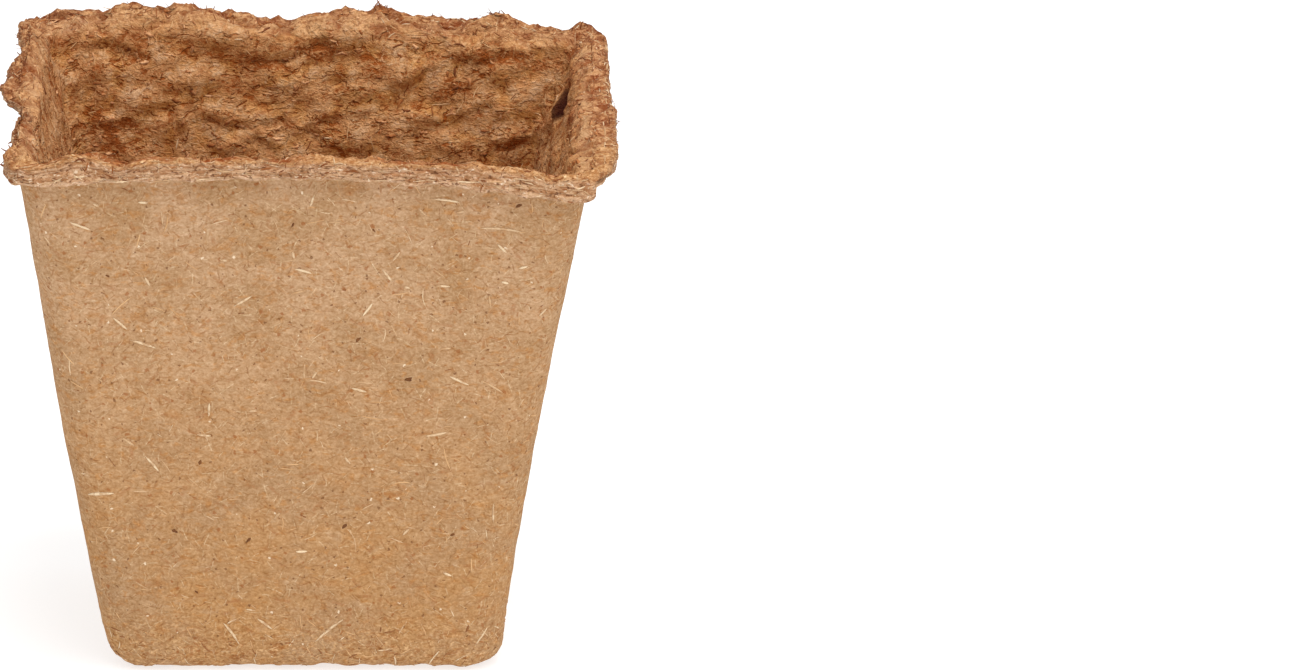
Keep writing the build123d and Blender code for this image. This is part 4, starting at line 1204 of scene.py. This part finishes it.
lying("inner_fibres_brown", 65, 330, row_weight({INNER: 1.0, INFOOT: 0.6, INFLOOR: 0.5, SHOULDER: 1.6}) * (1.0 - 0.5 * flank), 1.0, 0.45, 2.4, (0.08, 0.17), 0.0,
      RUST, "bark", 0.4, tone_mid=0.6, curl=0.15)
lying("inner_crumbs", 68, 1700, row_weight({INNER: 1.0, INFOOT: 0.6, INFLOOR: 0.5, SHOULDER: 1.5, CROWN: 1.0}) * (1.0 - 0.5 * flank), 0.8, 0.40, 1.8, (0.22, 0.48), 0.0,
      CRUMB, "pulp", 0.45, steps=5, tone_mid=0.5, uneven=True)
lying("inner_crumbs_rust", 69, 950, row_weight({INNER: 1.0, INFOOT: 0.6, INFLOOR: 0.5, SHOULDER: 1.0, CROWN: 0.5}) * (1.0 - 0.5 * flank), 0.65, 0.40, 1.5, (0.20, 0.42), 0.0,
      RUST, "bark", 0.45, steps=5, tone_mid=0.72, uneven=True)
lying("foot_fibres", 70, 260, row_weight({FOOT: 1.0}) + (rough_foot * 0.5)[:, None] * (REGION == WALL)[:, None], 0.8, 0.45, 2.4, (0.09, 0.20), 0.03,
      TAN, "pulp", 0.2, tone_mid=0.7, curl=0.15)
lying("foot_fibres_brown", 75, 240, row_weight({FOOT: 1.0}) + (rough_foot * 0.5)[:, None] * (REGION == WALL)[:, None], 0.7, 0.45, 2.0, (0.09, 0.22), 0.02,
      BROWN, "bark", 0.3, tone_mid=0.55, curl=0.15)
lying("foot_straws", 77, 130, row_weight({FOOT: 1.0}) + (rough_foot * 0.7)[:, None] * (REGION == WALL)[:, None], 1.3, 0.45, 3.4, (0.10, 0.21), 0.03,
      PALE, "pale_wood", 0.1, tone_mid=0.55, curl=0.12)
lying("lip_fibres", 66, 330, row_weight({EDGE: 1.0, CROWN: 0.7, BELOW: 0.5, SHOULDER: 0.25}), 1.0, 0.45, 3.0, (0.08, 0.18), 0.01,
      PALE, "pale_wood", 0.75, tone_mid=0.4)
lying("lip_fibres_brown", 67, 360, row_weight({EDGE: 1.0, CROWN: 0.4, BELOW: 0.3, SHOULDER: 0.3}), 0.8, 0.45, 2.4, (0.09, 0.22), 0.01,
      RUST, "bark", 0.6, tone_mid=0.4)


def whiskers(name, seed, count, weight, median, longest, width, material, slot, tone_mid, steps=8):
    """Loose fibre ends that stand out of the torn rim."""
    rng = np.random.RandomState(seed)
    fi, fj = scatter(rng, count, weight)
    root_p = bilinear(POS, fi, fj)
    n = bilinear(NORMALS, fi, fj)
    n /= np.linalg.norm(n, axis=1, keepdims=True)
    along = bilinear(T_U, fi, fj)
    along /= np.linalg.norm(along, axis=1, keepdims=True)
    push = n * rng.uniform(0.25, 0.9, count)[:, None] + along * rng.normal(0, 0.9, count)[:, None] \
        + np.array([0, 0, 1.0]) * rng.uniform(-0.15, 0.45, count)[:, None]
    push /= np.linalg.norm(push, axis=1, keepdims=True)
    length = np.clip(np.exp(rng.normal(math.log(median), 0.4, count)), 0.5, longest)
    curl = np.cross(push, rng.normal(0, 1, (count, 3)))
    curl /= np.linalg.norm(curl, axis=1, keepdims=True)
    s = np.linspace(-0.12, 1.0, steps)[None, :, None]
    pts = root_p[:, None, :] + push[:, None, :] * s * length[:, None, None] \
        + curl[:, None, :] * (s * s) * (length * rng.uniform(0.0, 0.45, count))[:, None, None]
    side = np.cross(push, curl)
    nrm = np.repeat(side[:, None, :], steps, 1)
    profile = np.linspace(1.0, 0.35, steps)
    w = rng.uniform(width[0], width[1], count)
    obj = strands(name, pts, nrm, w / 2.0, w * 0.4, np.clip(rng.normal(tone_mid, 0.28, count), 0, 1), profile)
    finish_piece(obj, material, slot)


few_right = (1.0 - 0.65 * right_side)[None, :]
whiskers("rim_whiskers", 71, 100, row_weight({EDGE: 0.8, CROWN: 1.4, SHOULDER: 0.35}) * few_right, 0.9, 2.2, (0.08, 0.16), TAN, "pulp", 0.35)
whiskers("rim_whiskers_brown", 72, 170, row_weight({EDGE: 0.9, CROWN: 1.6, SHOULDER: 0.3}) * few_right, 0.8, 2.0, (0.09, 0.20), RUST, "bark", 0.35)
whiskers("inner_whiskers", 73, 120, row_weight({INNER: 1.0, SHOULDER: 1.0}), 0.8, 1.8, (0.07, 0.14), TAN, "pulp", 0.4)

whiskers("rim_stubs", 76, 70, row_weight({EDGE: 1.0, CROWN: 1.0}) * left_side[None, :], 0.6, 1.1, (0.20, 0.42), RUST, "bark", 0.3)

# thicker tufts where the torn rim stands up
tuft_at = [(-34.1, 39.0), (-12.0, 39.2), (-10.4, 39.2), (9.6, 39.0), (25.0, 39.0), (36.6, 38.0), (40.4, -5.8), (-40.0, 3.4), (-39.0, 30.0)]
tuft = np.zeros((R_N, C_N))
for tx, ty in tuft_at:
    gap = np.hypot(BASE[:, :, 0] - tx, BASE[:, :, 1] - ty)
    tuft += np.where(np.isin(REGION, (CROWN, EDGE))[:, None], np.exp(-(gap / 1.1) ** 2), 0.0)
whiskers("rim_tufts", 74, 46, tuft, 0.8, 1.7, (0.14, 0.30), RUST, "bark", 0.3)

# ------------------------------------------------------------------ floor, light, camera
floor = make_object("floor", [(-6, -6, 0), (6, -6, 0), (6, 6, 0), (-6, 6, 0)], [(0, 1, 2, 3)])
floor_mat = bpy.data.materials.new("floor")
floor_mat.use_nodes = True
fb = floor_mat.node_tree.nodes["Principled BSDF"]
fb.inputs["Base Color"].default_value = (0.42, 0.42, 0.42, 1)
fb.inputs["Emission Color"].default_value = (1, 1, 1, 1)
fb.inputs["Emission Strength"].default_value = 0.7
fb.inputs["Roughness"].default_value = 0.9
floor.data.materials.append(floor_mat)
floor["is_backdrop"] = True

world = bpy.data.worlds.new("studio")
scene.world = world
world.use_nodes = True
world.node_tree.nodes["Background"].inputs["Color"].default_value = (1, 1, 1, 1)
world.node_tree.nodes["Background"].inputs["Strength"].default_value = 0.72


def area(name, at, aim, size, watts):
    data = bpy.data.lights.new(name, "AREA")
    data.shape = "DISK"
    data.size = size
    data.energy = watts
    lamp = bpy.data.objects.new(name, data)
    lamp.location = at
    lamp.rotation_euler = (Vector(aim) - Vector(at)).to_track_quat("-Z", "Y").to_euler()
    scene.collection.objects.link(lamp)
    return lamp


area("key", (0.45, -0.95, 1.12), (0, 0, 0.05), 1.1, 8.4)
area("top", (0.16, -0.15, 1.2), (0, 0, 0.05), 0.6, 7.0)

ELEV, DIST = math.radians(16.0), 2.3
aim_at = Vector((0.04559, 0.0, 0.03935))
cam_data = bpy.data.cameras.new("camera")
cam_data.sensor_width = 36.0
cam_data.lens = 17240.0 / 1299.0 * 36.0
cam_data.clip_start, cam_data.clip_end = 0.05, 40.0
camera = bpy.data.objects.new("camera", cam_data)
camera.location = aim_at + Vector((0, -math.cos(ELEV), math.sin(ELEV))) * DIST
camera.rotation_euler = (aim_at - camera.location).to_track_quat("-Z", "Y").to_euler()
scene.collection.objects.link(camera)
scene.camera = camera
scene.view_settings.view_transform = "Standard"

low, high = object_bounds()
